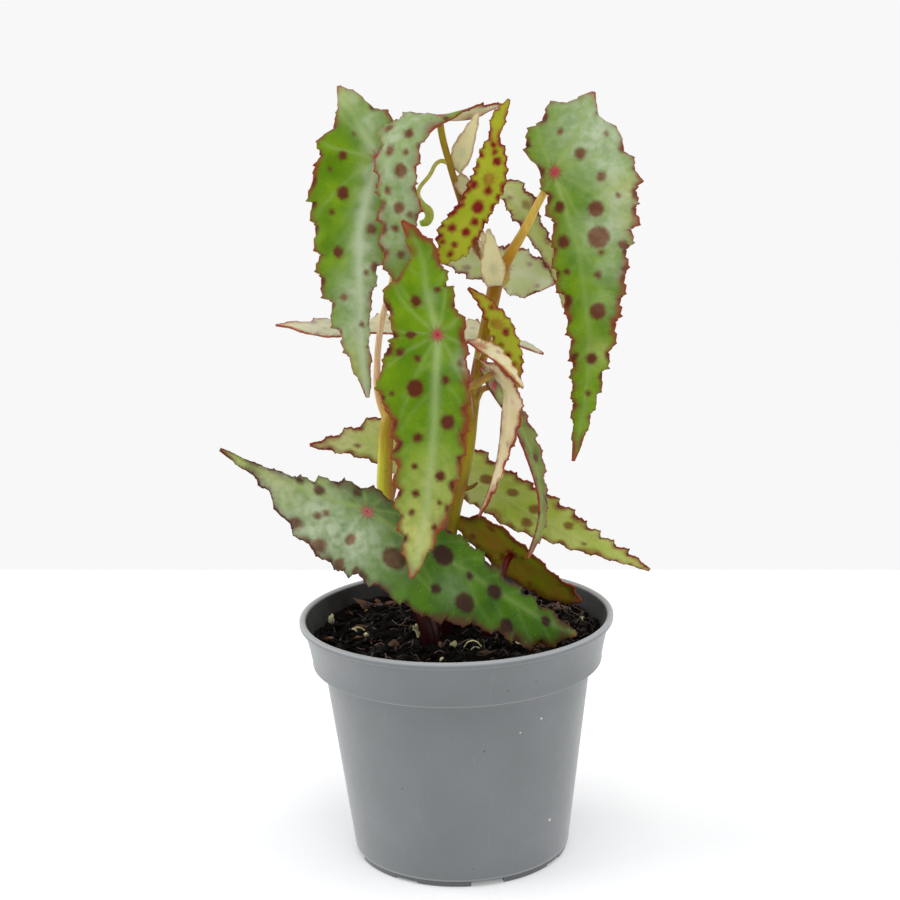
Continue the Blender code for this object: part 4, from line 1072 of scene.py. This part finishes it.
def blade_fields(blade, entry, grid):
    """What the finish reads at each point besides the margin, and how far the point is from a vein."""
    star = np.hypot(grid[:, 0], grid[:, 1] - blade.aside)
    vein = np.zeros(len(grid))
    from_vein = np.full(len(grid), FAR)
    lines = vein_lines(blade)
    for weight, line in lines:
        distance = distance_to_line(grid, line)
        wide = VEIN_WIDTH * (MIDRIB_WIDENING if weight == 1.0 else 1.0)
        vein = np.maximum(vein, weight * np.exp(-((distance / wide) ** 2)))
        from_vein = np.minimum(from_vein, distance)
    vein = vein * (0.35 + 0.65 * np.exp(-((star / VEIN_FADE) ** 2)))
    midrib = distance_to_line(grid, lines[0][1])
    # A painted highlight along the midrib, fading out on the short tip's side of the star
    midrib_highlight = entry.get("midrib_highlight", 0.0) * np.exp(-((midrib / MIDRIB_HIGHLIGHT_WIDTH) ** 2))
    midrib_highlight = midrib_highlight * np.clip((grid[:, 0] + 12) / 14, 0, 1)
    spot = np.full(len(grid), FAR)
    for t, v, radius in spots_of(blade, entry):
        reach = np.hypot((grid[:, 0] - t) / SPOT_STRETCH, grid[:, 1] - v) - radius
        spot = np.minimum(spot, reach)
    turns = np.degrees(np.arctan2(grid[:, 1] - blade.aside, grid[:, 0]))
    spikes = np.zeros(len(grid))
    for angle in (0, 180, -180, *VEIN_ANGLES, *(-angle for angle in VEIN_ANGLES)):
        spikes = np.maximum(spikes, np.exp(-(((turns - angle) / STAR_SPIKE) ** 2)))
    star = star / (0.45 + 0.55 * spikes)
    tip = np.minimum(grid[:, 0] + blade.star, blade.length - blade.star - grid[:, 0])
    fields = {"spot": spot, "vein": vein, "star": star, "tip": tip, "midrib_highlight": midrib_highlight}
    for title in ("painted_sheen", "pale"):
        fields[title] = patches(grid, entry.get(title, ()))
    return fields, from_vein


def make_blade(name, entry, looks, thickness=BLADE_THICKNESS, cell=CELL):
    """The blade as a fine sheet with its thickness, its margin teeth and the distances its finish reads."""
    blade = Blade(entry)
    half = max(3, round(blade.spine[:, 3:].max() / cell))
    edges = np.linspace(0, 1, half + 1)
    edges = 1 - (1 - edges) ** 1.25
    across = np.concatenate([-edges[:0:-1], edges])
    places = blade.rows_and_places()
    points, grid = lay_out(blade, across, places)
    fields, from_vein = blade_fields(blade, entry, grid)
    margin = fields["margin"] = margin_distance(points) * entry.get("rim", 1.0)
    dips = QUILT * (1 - np.exp(-from_vein / QUILT_REACH)) * np.clip(margin / 3, 0, 1)
    dips = dips * entry.get("quilt", 1.0)

    sheet = start_piece(
        name,
        bpy.ops.mesh.primitive_grid_add,
        x_subdivisions=len(across) - 1,
        y_subdivisions=len(places) - 1,
        size=2,
    )
    mesh = sheet.data
    order = np.array([vertex.co[:2] for vertex in mesh.vertices])
    column = np.rint((order[:, 0] + 1) / 2 * (len(across) - 1)).astype(int)
    line = np.rint((order[:, 1] + 1) / 2 * (len(places) - 1)).astype(int)
    index = line * len(across) + column
    normals = np.array([blade.frame(place)[3] for _, _, place in places])
    placed = points.reshape(-1, 3)[index] + dips[index, None] * normals[line]
    mesh.vertices.foreach_set("co", (placed * MM).ravel())
    for title, values in fields.items():
        layer = mesh.attributes.new(title, "FLOAT", "POINT")
        layer.data.foreach_set("value", values[index].astype(np.float32))
    mesh.flip_normals()
    for look in looks:
        mesh.materials.append(look)
    apply_modifier(sheet, "SOLIDIFY", thickness=thickness * MM, offset=0.0, material_offset=1)
    smooth(sheet)
    return sheet


def leaf_side(name, tones, roughness, glow, spot_share, edge_reach):
    """One side of a leaf: waxy cuticle over green flesh, thin enough for light to come through.

    Its clouds are 7 mm across, its patches 2.4 mm and ragged edges 1 mm. The skin's cells are drawn at
    0.7 mm, coarser than they are, to show. Glow is the share of light that comes through, spot_share is
    how strongly the spots show, and edge_reach is how far in from the margin the blush goes.
    """
    made, tree, shader = new_finish(name, IOR=1.45, Specular_IOR_Level=0.2)
    place = add_node(tree, "TexCoord", {}).outputs["Object"]
    fields = {}
    for title in ("margin", "spot", "vein", "star", "tip", "painted_sheen", "pale", "midrib_highlight"):
        fields[title] = add_node(tree, "Attribute", {}, attribute_name=title).outputs["Fac"]
    broad = add_node(tree, "TexNoise", {"Vector": place, "Scale": 140, "Detail": 3})
    ragged = add_node(tree, "TexNoise", {"Vector": place, "Scale": 900, "Detail": 3})
    patchy = add_node(tree, "TexNoise", {"Vector": place, "Scale": 420, "Detail": 1.5})
    cells = add_node(tree, "TexVoronoi", {"Vector": place, "Scale": 1500})
    wander = add_node(tree, "MapRange", {0: ragged, 1: 0.2, 2: 0.8, 3: -0.35, 4: 0.35})
    stray = add_node(tree, "MapRange", {0: broad, 1: 0.3, 2: 0.7, 3: -1.3, 4: 1.1})
    broken = add_node(tree, "MapRange", {0: broad, 1: 0.35, 2: 0.65, 3: -0.25, 4: 0.35})
    broken = add_node(tree, "Math", {0: broken, 1: wander}, operation="ADD")

    def near(field, shift, inner, outer, strength):
        """How close a field is to zero, after the shift is added to it."""
        moved = add_node(tree, "Math", {0: field, 1: shift}, operation="ADD")
        steps = {0: moved, 1: inner, 2: outer, 3: strength, 4: 0.0}
        return add_node(tree, "MapRange", steps, interpolation_type="SMOOTHSTEP")

    inks = {title: linear(tone) for title, tone in tones.items() if title != "groove"}
    share = add_node(tree, "MapRange", {0: broad, 1: 0.35, 2: 0.65})
    dappled = add_node(tree, "MapRange", {0: patchy, 1: 0.35, 2: 0.6, 3: 0.6, 4: 1.0})
    # Pale patches are painted light: the leaf painted lighter where light falls on it or comes through it
    painted_light = add_node(tree, "Math", {0: dappled, 1: fields["pale"]}, operation="MULTIPLY")
    line = add_node(tree, "Math", {0: fields["vein"], 1: 0.5}, operation="MULTIPLY")
    # A grey-white painted sheen, painted reflection of the lamps: laid in the sheen patches, patchy, weaker
    # on veins
    shiny = add_node(tree, "MapRange", {0: patchy, 1: 0.36, 2: 0.62, 3: 0.55, 4: 1.0})
    between = add_node(tree, "MapRange", {0: fields["vein"], 3: 1.0, 4: 0.25})
    shiny = add_node(tree, "Math", {0: shiny, 1: fields["painted_sheen"]}, operation="MULTIPLY")
    shiny = add_node(tree, "Math", {0: shiny, 1: between}, operation="MULTIPLY")
    fleck = near(cells.outputs["Distance"], 0.0, 0.1, 0.3, 0.5)
    chance = add_node(tree, "SeparateXYZ", {0: cells.outputs["Color"]})
    few = add_node(tree, "Math", {0: chance, 1: 0.9}, operation="GREATER_THAN")
    fleck = add_node(tree, "Math", {0: fleck, 1: few}, operation="MULTIPLY")
    # Spots under the painted sheen are painted towards a paler tone as well
    painted_veil = add_node(tree, "Math", {0: shiny, 1: 0.8}, operation="MULTIPLY")
    veiled = {0: painted_veil, 6: inks["spot"], 7: inks["painted_veil"]}
    inks["spot"] = add_node(tree, "Mix", veiled, data_type="RGBA").outputs[2]
    layers = (
        (share, "light"),
        (painted_light, "pale"),
        (line, "vein"),
        (near(fields["margin"], stray, -0.2, edge_reach, 0.8), "blush"),
        (near(fields["tip"], stray, 0.2, 3.0, 0.7), "tip"),
        # The painted sheen, then the painted highlight along the midrib
        (shiny, "painted_sheen"),
        (fields["midrib_highlight"], "midrib_highlight"),
        (fleck, "vein"),
        (near(fields["spot"], wander, -0.8, 0.6, spot_share), "spot"),
        (near(fields["star"], wander, 1.2, 4.2, 0.6), "heart"),
        (near(fields["star"], wander, 0.8, 2.6, 0.85), "star"),
        (near(fields["star"], wander, 0.2, 0.9, 0.7), "heart"),
        (near(fields["margin"], broken, 0.1, 0.65, 0.95), "edge"),
    )
    colour = inks["flesh"]
    for share, ink in layers:
        steps = {0: share, 6: colour, 7: inks[ink]}
        colour = add_node(tree, "Mix", steps, data_type="RGBA").outputs[2]
    tree.links.new(colour, shader.inputs["Base Color"])
    uneven = {0: broad, 1: 0.3, 2: 0.7, 3: roughness - 0.05, 4: roughness + 0.07}
    tree.links.new(add_node(tree, "MapRange", uneven).outputs[0], shader.inputs["Roughness"])
    groove = {0: fields["vein"], 1: tones["groove"]}
    groove = add_node(tree, "Math", groove, operation="MULTIPLY")
    skin = {0: cells.outputs["Distance"], 1: groove}
    skin = add_node(tree, "Math", skin, operation="SUBTRACT")
    bump = add_node(tree, "Bump", {"Strength": 0.45, "Distance": 0.0002, "Height": skin})
    tree.links.new(bump.outputs[0], shader.inputs["Normal"])
    clear = add_node(tree, "Gamma", {"Color": colour, "Gamma": 0.4})
    through = add_node(tree, "BsdfTranslucent", {"Color": clear, "Normal": bump})
    both = add_node(tree, "MixShader", {0: glow, 1: shader, 2: through})
    tree.links.new(both.outputs[0], tree.nodes["Material Output"].inputs["Surface"])
    return made


# Upper sides are grass green with maroon spots and a waxy shine. A grey-white painted sheen, with the
# spots under it painted paler, a painted highlight along the midrib and pale patches of painted light lie
# on them in places. Undersides are dull, their veins stand out, and the spots only show through. Young
# leaves are yellow-green with dark red spots, the low front leaf is painted a darker green as painted
# shade, and the lowest one is olive and maroon.
GREEN_TOP = dict(
    flesh="#4e7800", light="#6c9202", vein="#b0c476", blush="#80381e", spot="#58200f", edge="#943822",
    heart="#741620", star="#c43450", tip="#a4583a", painted_sheen="#bac8a6", midrib_highlight="#c0cfac", pale="#c6c674",
    painted_veil="#967656", groove=1.0,
)
GREEN_UNDER = dict(
    flesh="#cfe05a", light="#e6ea8a", vein="#c4d080", blush="#a4784a", spot="#8a4824", edge="#742420",
    heart="#b08a60", star="#c88a70", tip="#b06a48", painted_sheen="#c9cfbc", midrib_highlight="#c9cfbc", pale="#f0eec0",
    painted_veil="#c9b8ac", groove=-1.0,
)
# The low front leaf's upper side: its greens painted darker as painted shade, with its own browner spots and
# edges
SHADED_TOP = dict(
    GREEN_TOP, flesh="#2a5400", light="#447002", spot="#2e180e", blush="#502a1a", edge="#4c241a",
    star="#cc6070",
)
YOUNG_TOP = dict(
    GREEN_TOP, flesh="#94a410", light="#a8b01c", vein="#b8b030", blush="#a85424", spot="#7c0c08",
    edge="#7c1c16", heart="#98901a", star="#a07820", tip="#a8a020",
)
YOUNG_UNDER = dict(GREEN_UNDER, flesh="#b3b85a", light="#c6c682", spot="#8c3a2c")
PALE_TOP = dict(GREEN_TOP, flesh="#5a6e1e", light="#828b44", spot="#5a3028", blush="#8a6050")
PALE_UNDER = dict(
    GREEN_UNDER, flesh="#d6ea98", light="#f0f2cc", vein="#f0f2e0", blush="#ccae98", spot="#b09484",
    edge="#7a342c", tip="#c08a70",
)
LIME_UNDER = dict(PALE_UNDER, flesh="#c4da5c", light="#e2ea9c", spot="#a88a60")
CREAM_TOP = dict(PALE_UNDER, flesh="#e6da98", light="#f2e8b8", blush="#c8884c", edge="#a04028")
CREAM_UNDER = dict(PALE_UNDER, flesh="#dccc9a", light="#ecd8b4", blush="#bc7e5c")
DARK_TOP = dict(
    GREEN_TOP, flesh="#4a5410", light="#66601a", vein="#7d7a2e", blush="#5a1e14", spot="#451410",
)
DARK_UNDER = dict(
    GREEN_UNDER, flesh="#8e9a10", light="#a0781c", vein="#a07a28", blush="#4e180a", spot="#6a2412",
    edge="#4a140e", heart="#5a1410", star="#7a2018",
)
LEAF_SLOTS = {"young": "leaf_young", "dark": "leaf_dark"}
LEAF_LOOKS = {}
# Each look: its upper side, its underside, and how far in from the margin the blush reaches
for look, top, under, reach in (
    ("green", GREEN_TOP, GREEN_UNDER, 2.1),
    ("silver", GREEN_TOP, CREAM_UNDER, 2.0),
    ("shaded", SHADED_TOP, GREEN_UNDER, 2.3),
    ("young", YOUNG_TOP, YOUNG_UNDER, 1.4),
    ("pale", PALE_TOP, PALE_UNDER, 1.4),
    ("lime", PALE_TOP, LIME_UNDER, 1.4),
    ("cream", CREAM_TOP, CREAM_UNDER, 1.4),
    ("dark", DARK_TOP, DARK_UNDER, 3.0),
):
    shiny = leaf_side(look + " leaf, waxy upper side", top, 0.36, glow=0.3, spot_share=1.0, edge_reach=reach)
    dull = leaf_side(look + " leaf, dull underside", under, 0.55, glow=0.4, spot_share=0.8, edge_reach=reach)
    LEAF_LOOKS[look] = (shiny, dull)
for name, entry in LEAVES.items():
    look = entry.get("look", "green")
    leaf = make_blade(name.replace("leaf", "blade"), entry, LEAF_LOOKS[look])
    fit(leaf, "root", LEAF_SLOTS.get(look, "leaf_green"), name)

# Canes and stalks
# Two fleshy, jointed canes rise from the peat, and from their joints grow the slim stalks that hold the
# leaves. Each cane and its stalks are one growth: maroon at the base, ochre and green higher up.
# Stem paths: x, y, z, radius
MAIN_CANE = (
    (-2.8, 1.6, 76, 2.3), (-2.2, 1.8, 87, 2.2), (-0.5, 2, 98, 2.2), (4.2, 2, 117, 2.1), (6.3, 1.8, 132, 2),
    (10, 1.5, 150, 2), (12.8, 1.2, 162.5, 2.1), (13.6, 1, 166.3, 2.2), (14.3, 0.9, 169, 1.4),
)
SECOND_CANE = (
    (-10, -6.8, 75, 2.7), (-14.5, -2, 86.5, 2.5), (-18.2, 2.4, 97.5, 2.3), (-19.4, 4, 106, 2.3),
    (-19, 4, 115, 2.2), (-18.2, 4, 124, 2.2), (-17, 4, 129, 2.3),
)
# Each stalk starts inside its cane and ends just under its leaf's star.
MAIN_CANE_STALKS = {
    "leaf_top_middle": (
        (13.6, 1, 167, 1.9), (10.3, 0.3, 172.5, 1.3), (7.9, 0, 176.5, 1.2), (4.6, -2, 188, 1.1),
        (1.6, -4, 198.5, 1),
    ),
    "leaf_right": (
        (13.6, 1, 166, 1.9), (16.8, 0.4, 172, 1.6), (21.5, -1, 180, 1.3), (26.5, -3, 189.5, 1.1),
    ),
    "leaf_front": ((5.4, 1.8, 126, 1.3), (4.4, -6, 137, 1.2), (1, -15, 149, 1.1)),
    "leaf_young_top": ((5.2, -1.6, 186, 0.9), (8.5, -7, 191.5, 0.8)),
    "leaf_young_low": ((12.4, 1.2, 160, 1), (13.4, -5, 157, 0.8)),
    "leaf_folded_small": ((9.8, 1.5, 149, 1), (8.8, -6, 148.4, 0.8)),
    "leaf_folded_left": ((6.2, 1.8, 131, 1.1), (2.5, -6, 136, 1)),
    "leaf_folded_right": ((6.2, 1.8, 130, 1.1), (7.6, 0.6, 133, 0.9)),
    "leaf_back_middle": ((13.6, 1, 166.5, 1.4), (15.2, 7, 164, 1)),
    "leaf_back_right": ((5.6, -1.5, 184.5, 0.9), (9.5, 0.5, 187.5, 0.8)),
}
SECOND_CANE_STALKS = {
    "leaf_upper_left": (
        (-17.6, 4, 126.5, 1.6), (-20.1, 3.8, 134, 1.2), (-20.3, 3.4, 142.7, 1), (-18.4, 2.4, 155.8, 0.95),
        (-14.8, 1.4, 168.3, 1), (-14, 1.6, 182, 1),
    ),
    "leaf_back_left": ((-17.4, 4, 127.5, 1.4), (-13, 7, 138, 1.1), (-8.5, 12, 146, 1)),
    "leaf_low_back": ((-18.8, 3.2, 101, 1.4), (-16.5, 9.5, 107.5, 1.1)),
    "leaf_low_front": ((-11, -5.8, 78, 1.6), (-13.5, -13, 88, 1.4), (-18.5, -23, 100, 1.2)),
}
DARK_STALK = ((9.6, -2.8, 74, 1.2), (12.4, -4.2, 81, 1.1))
# The stub of a lost leaf
STUB = ((2.6, 2, 106.4, 0.8), (5.4, 1, 107.4, 0.6), (7.2, 0.2, 108.9, 0.4))
STEM_VOXEL = 0.3
# How strongly the sunned side is coloured, and over what height that fades out
SUN_STRENGTH = 0.85
SUN_FADE = 6
# Heights of a buried stem's points against the peat's top
BURIED = (-20, -5, 2)
# A stalk's last two points, by how far under the blade's underside they lie
STALK_ENDS = (2.6, 0.1)
MAIN_CANE_FOOT, SECOND_CANE_FOOT, DARK_STALK_FOOT = STEM_FEET
# Each stem's colours from its foot to its end
MAIN_CANE_COLOURS = (
    "#200406", "#200406", "#2c0a08", "#4a2010", "#80700e", "#9a8c1e", "#947a1c", "#946a12", "#8c5c0c",
    "#7c4a06",
)
SECOND_CANE_COLOURS = (
    "#200406", "#200406", "#280508", "#3a0a0a", "#7c5a26", "#b4b040", "#bcb840", "#ac9430", "#9a7a30",
)
STALK_COLOURS = {
    "leaf_upper_left": ("#b8a03c", "#dcb088", "#ecccaa", "#e0c898", "#ccd080", "#c0c868"),
    "leaf_top_middle": ("#7a4c0c", "#8a5a30", "#855c34", "#8a6430", "#96782a", "#9b8524", "#a89840"),
    # The right leaf's stalk is ochre, painted lighter and yellower towards its top as a painted highlight
    "leaf_right": ("#7a4a0a", "#b08430", "#d4b45c", "#dcc070", "#c0a868"),
    "leaf_low_front": ("#3a0c0c", "#300809", "#3a0c0c", "#6a2018"),
}
PLAIN_STALK = ("#8c6a24", "#b09a48", "#a87848")
STUB_COLOURS = ("#8a6a22", "#6a4a1c")
DARK_STALK_COLOURS = ("#24060a", "#4a0f0c", "#5a140e")


def rooted(foot, path):
    """A stem's path with its straight length in the peat put before it."""
    x, y, radius = foot
    return (*((x, y, PEAT_TOP + height, radius) for height in BURIED), *path)


def to_star(leaf, path):
    """A stalk's path, led on to meet its blade square on from below."""
    blade = Blade(LEAVES[leaf])
    radius = path[-1][3]
    point, _, right, normal = blade.frame(blade.star)
    point = point + blade.aside * right + blade.fold * abs(blade.aside) * normal
    clear = CAD_THICKNESS / 2 + abs(blade.fold) * radius
    ends = [(*(point - normal * (clear + back)), radius) for back in STALK_ENDS]
    return (*path, *ends)


def grown(name, paths, colours, sunned=None, voxel=STEM_VOXEL):
    """Stems fused into one growth, coloured by the nearest stretch of stem, and by the sun on one side.

    Sunned is that side, its colour, and the heights between which it shows.
    """
    stems = thread(name, paths, sides=5, steps=10)
    apply_modifier(stems, "REMESH", mode="VOXEL", voxel_size=voxel * MM)
    apply_modifier(stems, "SMOOTH", factor=0.5, iterations=5)
    samples = []
    for path, shades in zip(paths, colours):
        path = np.array(path, float)
        shades = np.array([linear(shade)[:3] for shade in shades])
        marks = np.linspace(0, 1, len(path))
        for share in np.linspace(0, 1, 8 * len(path)):
            place = [np.interp(share, marks, path[:, axis]) for axis in range(3)]
            shade_marks = np.linspace(0, 1, len(shades))
            shade = [np.interp(share, shade_marks, shades[:, part]) for part in range(3)]
            samples.append((place, shade))
    tree = kdtree.KDTree(len(samples))
    for number, (place, _) in enumerate(samples):
        tree.insert(Vector(place), number)
    tree.balance()
    layer = stems.data.attributes.new("shade", "FLOAT_COLOR", "POINT")
    for number, vertex in enumerate(stems.data.vertices):
        found = tree.find_n(vertex.co / MM, 5)
        weights = [1 / (distance + 0.3) ** 2 for _, _, distance in found]
        shade = sum(np.array(samples[i][1]) * w for (_, i, _), w in zip(found, weights)) / sum(weights)
        if sunned:
            side, tan, low, high = sunned
            height = vertex.co.z / MM
            reach = min(max((height - low) / SUN_FADE, 0), 1)
            reach *= min(max((high - height) / SUN_FADE, 0), 1)
            share = SUN_STRENGTH * reach * min(max(side * vertex.normal.x + 0.1, 0), 1)
            shade = shade + share * (np.array(linear(tan)[:3]) - shade)
        layer.data[number].color = (*shade, 1.0)
    smooth(stems)
    return stems


def stalk_set(stalks):
    """The paths and the colours of a cane's stalks."""
    paths = [to_star(leaf, path) for leaf, path in stalks.items()]
    return paths, [STALK_COLOURS.get(leaf, PLAIN_STALK) for leaf in stalks]


# Fleshy cane skin is smooth and slightly shiny, with fine lengthwise lines 0.7 mm apart and a few corky
# marks of 4 mm. A little light spreads under it.
cane_look, tree, shader = new_finish(
    "fleshy cane skin",
    IOR=1.45,
    Roughness=0.36,
    Specular_IOR_Level=0.25,
    Subsurface_Weight=0.15,
    Subsurface_Radius=(0.6, 0.5, 0.2),
    Subsurface_Scale=0.002,
)
place = add_node(tree, "TexCoord", {}).outputs["Object"]
drawn = add_node(tree, "Mapping", {"Vector": place, "Scale": (1, 1, 0.12)})
lines = add_node(tree, "TexNoise", {"Vector": drawn, "Scale": 1400, "Detail": 3})
blotch = add_node(tree, "TexNoise", {"Vector": place, "Scale": 260, "Detail": 3})
shade = add_node(tree, "Attribute", {}, attribute_name="shade").outputs["Color"]
lined = add_node(tree, "MapRange", {0: lines, 1: 0.35, 2: 0.7, 3: 0.85, 4: 1.12})
toned = {"Value": lined, "Color": shade, "Saturation": 1.05}
toned = add_node(tree, "HueSaturation", toned)
corky = add_node(tree, "MapRange", {0: blotch, 1: 0.62, 2: 0.75, 3: 0, 4: 0.35})
marked = {0: corky, 6: toned, 7: linear("#6a3414")}
marked = add_node(tree, "Mix", marked, data_type="RGBA").outputs[2]
tree.links.new(marked, shader.inputs["Base Color"])
bump = add_node(tree, "Bump", {"Strength": 0.35, "Distance": 0.00015, "Height": lines})
tree.links.new(bump.outputs[0], shader.inputs["Normal"])

paths, colours = stalk_set(MAIN_CANE_STALKS)
paths = [rooted(MAIN_CANE_FOOT, MAIN_CANE), *paths, STUB]
colours = [MAIN_CANE_COLOURS, *colours, STUB_COLOURS]
cane = grown("cane_and_stalks", paths, colours, sunned=(-1, "#6e3424", 84, 150))
cane.data.materials.append(cane_look)
fit(cane, "root", "cane", "cane_main")

paths, colours = stalk_set(SECOND_CANE_STALKS)
paths = [rooted(SECOND_CANE_FOOT, SECOND_CANE), *paths]
colours = [SECOND_CANE_COLOURS, *colours]
cane = grown("second_cane_and_stalks", paths, colours, sunned=(1, "#a2572f", 88, 140))
cane.data.materials.append(cane_look)
fit(cane, "root", "cane", "cane_second")

path = to_star("leaf_low_dark", rooted(DARK_STALK_FOOT, DARK_STALK))
dark_stalk = grown("dark_stalk", [path], [DARK_STALK_COLOURS])
dark_stalk.data.materials.append(cane_look)
fit(dark_stalk, "root", "red_stalk", "stalk_low_dark")

# Bud
# The newest leaf is still rolled up, a soft pale yellow-green curl. It grows at the end of a thin stalk
# off the main cane's shoot, and has the same fleshy skin as the stalks.
BUD_STALK = (
    (1.4, -4.1, 199, 0.7), (-1.2, -5, 199.6, 0.6), (-4, -6.2, 196, 0.6), (-7.2, -7.2, 191.5, 0.6),
    (-6.4, -7.4, 188.4, 1.2), (-4.4, -7.4, 186.2, 1.3), (-5, -7.4, 183.8, 1.2), (-7, -7.4, 183.2, 0.8),
)
BUD_COLOURS = ("#a8a04a", "#b4b45a", "#b0b060", "#a4b04c", "#9cb04a")
bud = grown("rolled_bud", [BUD_STALK], [BUD_COLOURS], voxel=0.2)
bud.data.materials.append(cane_look)
fit(bud, "root", "cane", "cane_main")

# Stipules
# Thin scales that sheathed the young leaves stand at the joints where those have opened. They are dry
# plant tissue, pale and papery, with a pinkish-brown keel and edge.
# Root, tip, widest half-width, and where the inner side looks
STIPULES = (
    ((3.2, -3.4, 197), (9.7, -11, 212.8), 3.3, (-0.4, -0.8, 0.2)),
    ((3.6, -2.8, 195.5), (8.6, -5, 186.5), 2.4, (0.3, -0.9, 0.1)),
    ((13, -2, 165), (11.7, -4.5, 181), 3.5, (0, -0.98, -0.12)),
    ((11.5, 0.4, 171), (8.8, -4, 178.5), 1.3, (-0.3, -0.9, -0.2)),
    ((13.8, 1.6, 168), (9.2, 4, 181), 2.2, (0.5, 0.8, 0.1)),
)
# Share of the way from root to tip, and share of the widest half-width there
STIPULE_FORM = ((0, 0.6), (0.3, 1), (0.65, 0.6), (1, 0.12))
STIPULE_TONES = dict(
    GREEN_UNDER, flesh="#e6e0a2", light="#f0e8bc", vein="#eae4ae", blush="#e4d4a8", spot="#d8d6a8",
    edge="#c8a684", heart="#d8d6a8", star="#d8d6a8", tip="#d8d6a8", groove=-0.6,
)
# Dry papery tissue is matt and straw-coloured, lets light through, and has no spots.
papery = leaf_side("papery stipule", STIPULE_TONES, 0.6, glow=0.4, spot_share=0.0, edge_reach=0.8)
for number, (root, tip, half_width, face) in enumerate(STIPULES):
    root, tip = np.array(root, float), np.array(tip, float)
    spine = [(*(root + (tip - root) * t), half_width * w, half_width * w) for t, w in STIPULE_FORM]
    entry = dict(
        spine=spine, faces=(face, face), fold=0.3, wave=0.2, star=1, tooth=0.25, quilt=0.3, patch=0.0,
        pitch=np.linalg.norm(tip - root) / 5, seed=40 + number,
    )
    scale = make_blade(f"stipule_{number + 1}", entry, [papery, papery], thickness=0.35, cell=0.4)
    fit(scale, "root", "cane", "cane_main")

# Studio
# The plant stands on a white floor in the even light of large soft lamps. Behind the plant the floor
# turns a little greyer along a straight line, and runs back to a wall of the same pale grey.
PANEL_SIZE = 8.0
PALE_GREY_GLOW = 0.94
# Two places on the straight line where the floor turns greyer
LINE_LEFT = Vector((-204.5, 302.2, 0))
LINE_RIGHT = Vector((191.8, 263.9, 0))
LENS = 76.3
CAMERA_PLACE = (-0.5, -524, 238)
CAMERA_TILT = 12.84
CAMERA_ROLL = -1.57
LAMPS_AIM = Vector((0, 0, 0.11))


def studio_panel(name, colour, glow, back, tilt=0, height=0):
    """A square matt panel that glows a little, with its middle this far behind the line on the floor."""
    across = (LINE_RIGHT - LINE_LEFT).normalized()
    behind = Vector((-across.y, across.x, 0))
    panel = start_piece(name, bpy.ops.mesh.primitive_plane_add, size=PANEL_SIZE)
    panel.rotation_euler = (math.radians(tilt), 0, math.atan2(across.y, across.x))
    panel.location = (LINE_LEFT + LINE_RIGHT) / 2 * MM + back * behind + Vector((0, 0, height))
    look, _, shader = new_finish(name + " paint", Roughness=0.9, Specular_IOR_Level=0.0)
    shader.inputs["Base Color"].default_value = linear(colour)
    shader.inputs["Emission Color"].default_value = (1, 1, 1, 1)
    shader.inputs["Emission Strength"].default_value = glow
    panel.data.materials.append(look)


studio_panel("floor", "#f2f2f2", glow=0.2, back=-PANEL_SIZE / 2)
studio_panel("floor_behind", "#000000", PALE_GREY_GLOW, back=PANEL_SIZE / 2)
studio_panel("wall", "#000000", PALE_GREY_GLOW, back=PANEL_SIZE, tilt=90, height=PANEL_SIZE / 2)


def soft_lamp(name, place, size, power):
    """A square lamp that points at the middle of the plant."""
    bpy.ops.object.light_add(type="AREA", location=place)
    lamp = bpy.context.object
    lamp.name = name
    lamp.data.shape = "SQUARE"
    lamp.data.size = size
    lamp.data.energy = power
    lamp.rotation_euler = (LAMPS_AIM - Vector(place)).to_track_quat("-Z", "Y").to_euler()


soft_lamp("lamp_front", (0.5, -1.4, 0.7), 0.7, 3.4)
soft_lamp("lamp_left", (-1.5, 0.05, 0.7), 1.6, 15)
soft_lamp("lamp_right", (1.5, -0.1, 0.7), 1.3, 5)
soft_lamp("lamp_top", (0.1, -0.4, 1.6), 1.0, 7)
world = bpy.data.worlds.new("studio")
world.use_nodes = True
world.node_tree.nodes["Background"].inputs["Color"].default_value = linear("#f6f7fa")
world.node_tree.nodes["Background"].inputs["Strength"].default_value = 0.6
bpy.context.scene.world = world
bpy.context.scene.view_settings.view_transform = "Standard"

bpy.ops.object.camera_add(location=[part * MM for part in CAMERA_PLACE])
camera = bpy.context.object
camera.data.lens = LENS
camera.data.sensor_width = 36
camera.data.clip_end = 20
tilted = Matrix.Rotation(math.radians(90 - CAMERA_TILT), 4, "X")
rolled = Matrix.Rotation(math.radians(CAMERA_ROLL), 4, "Z")
camera.rotation_euler = (tilted @ rolled).to_euler()
bpy.context.scene.camera = camera
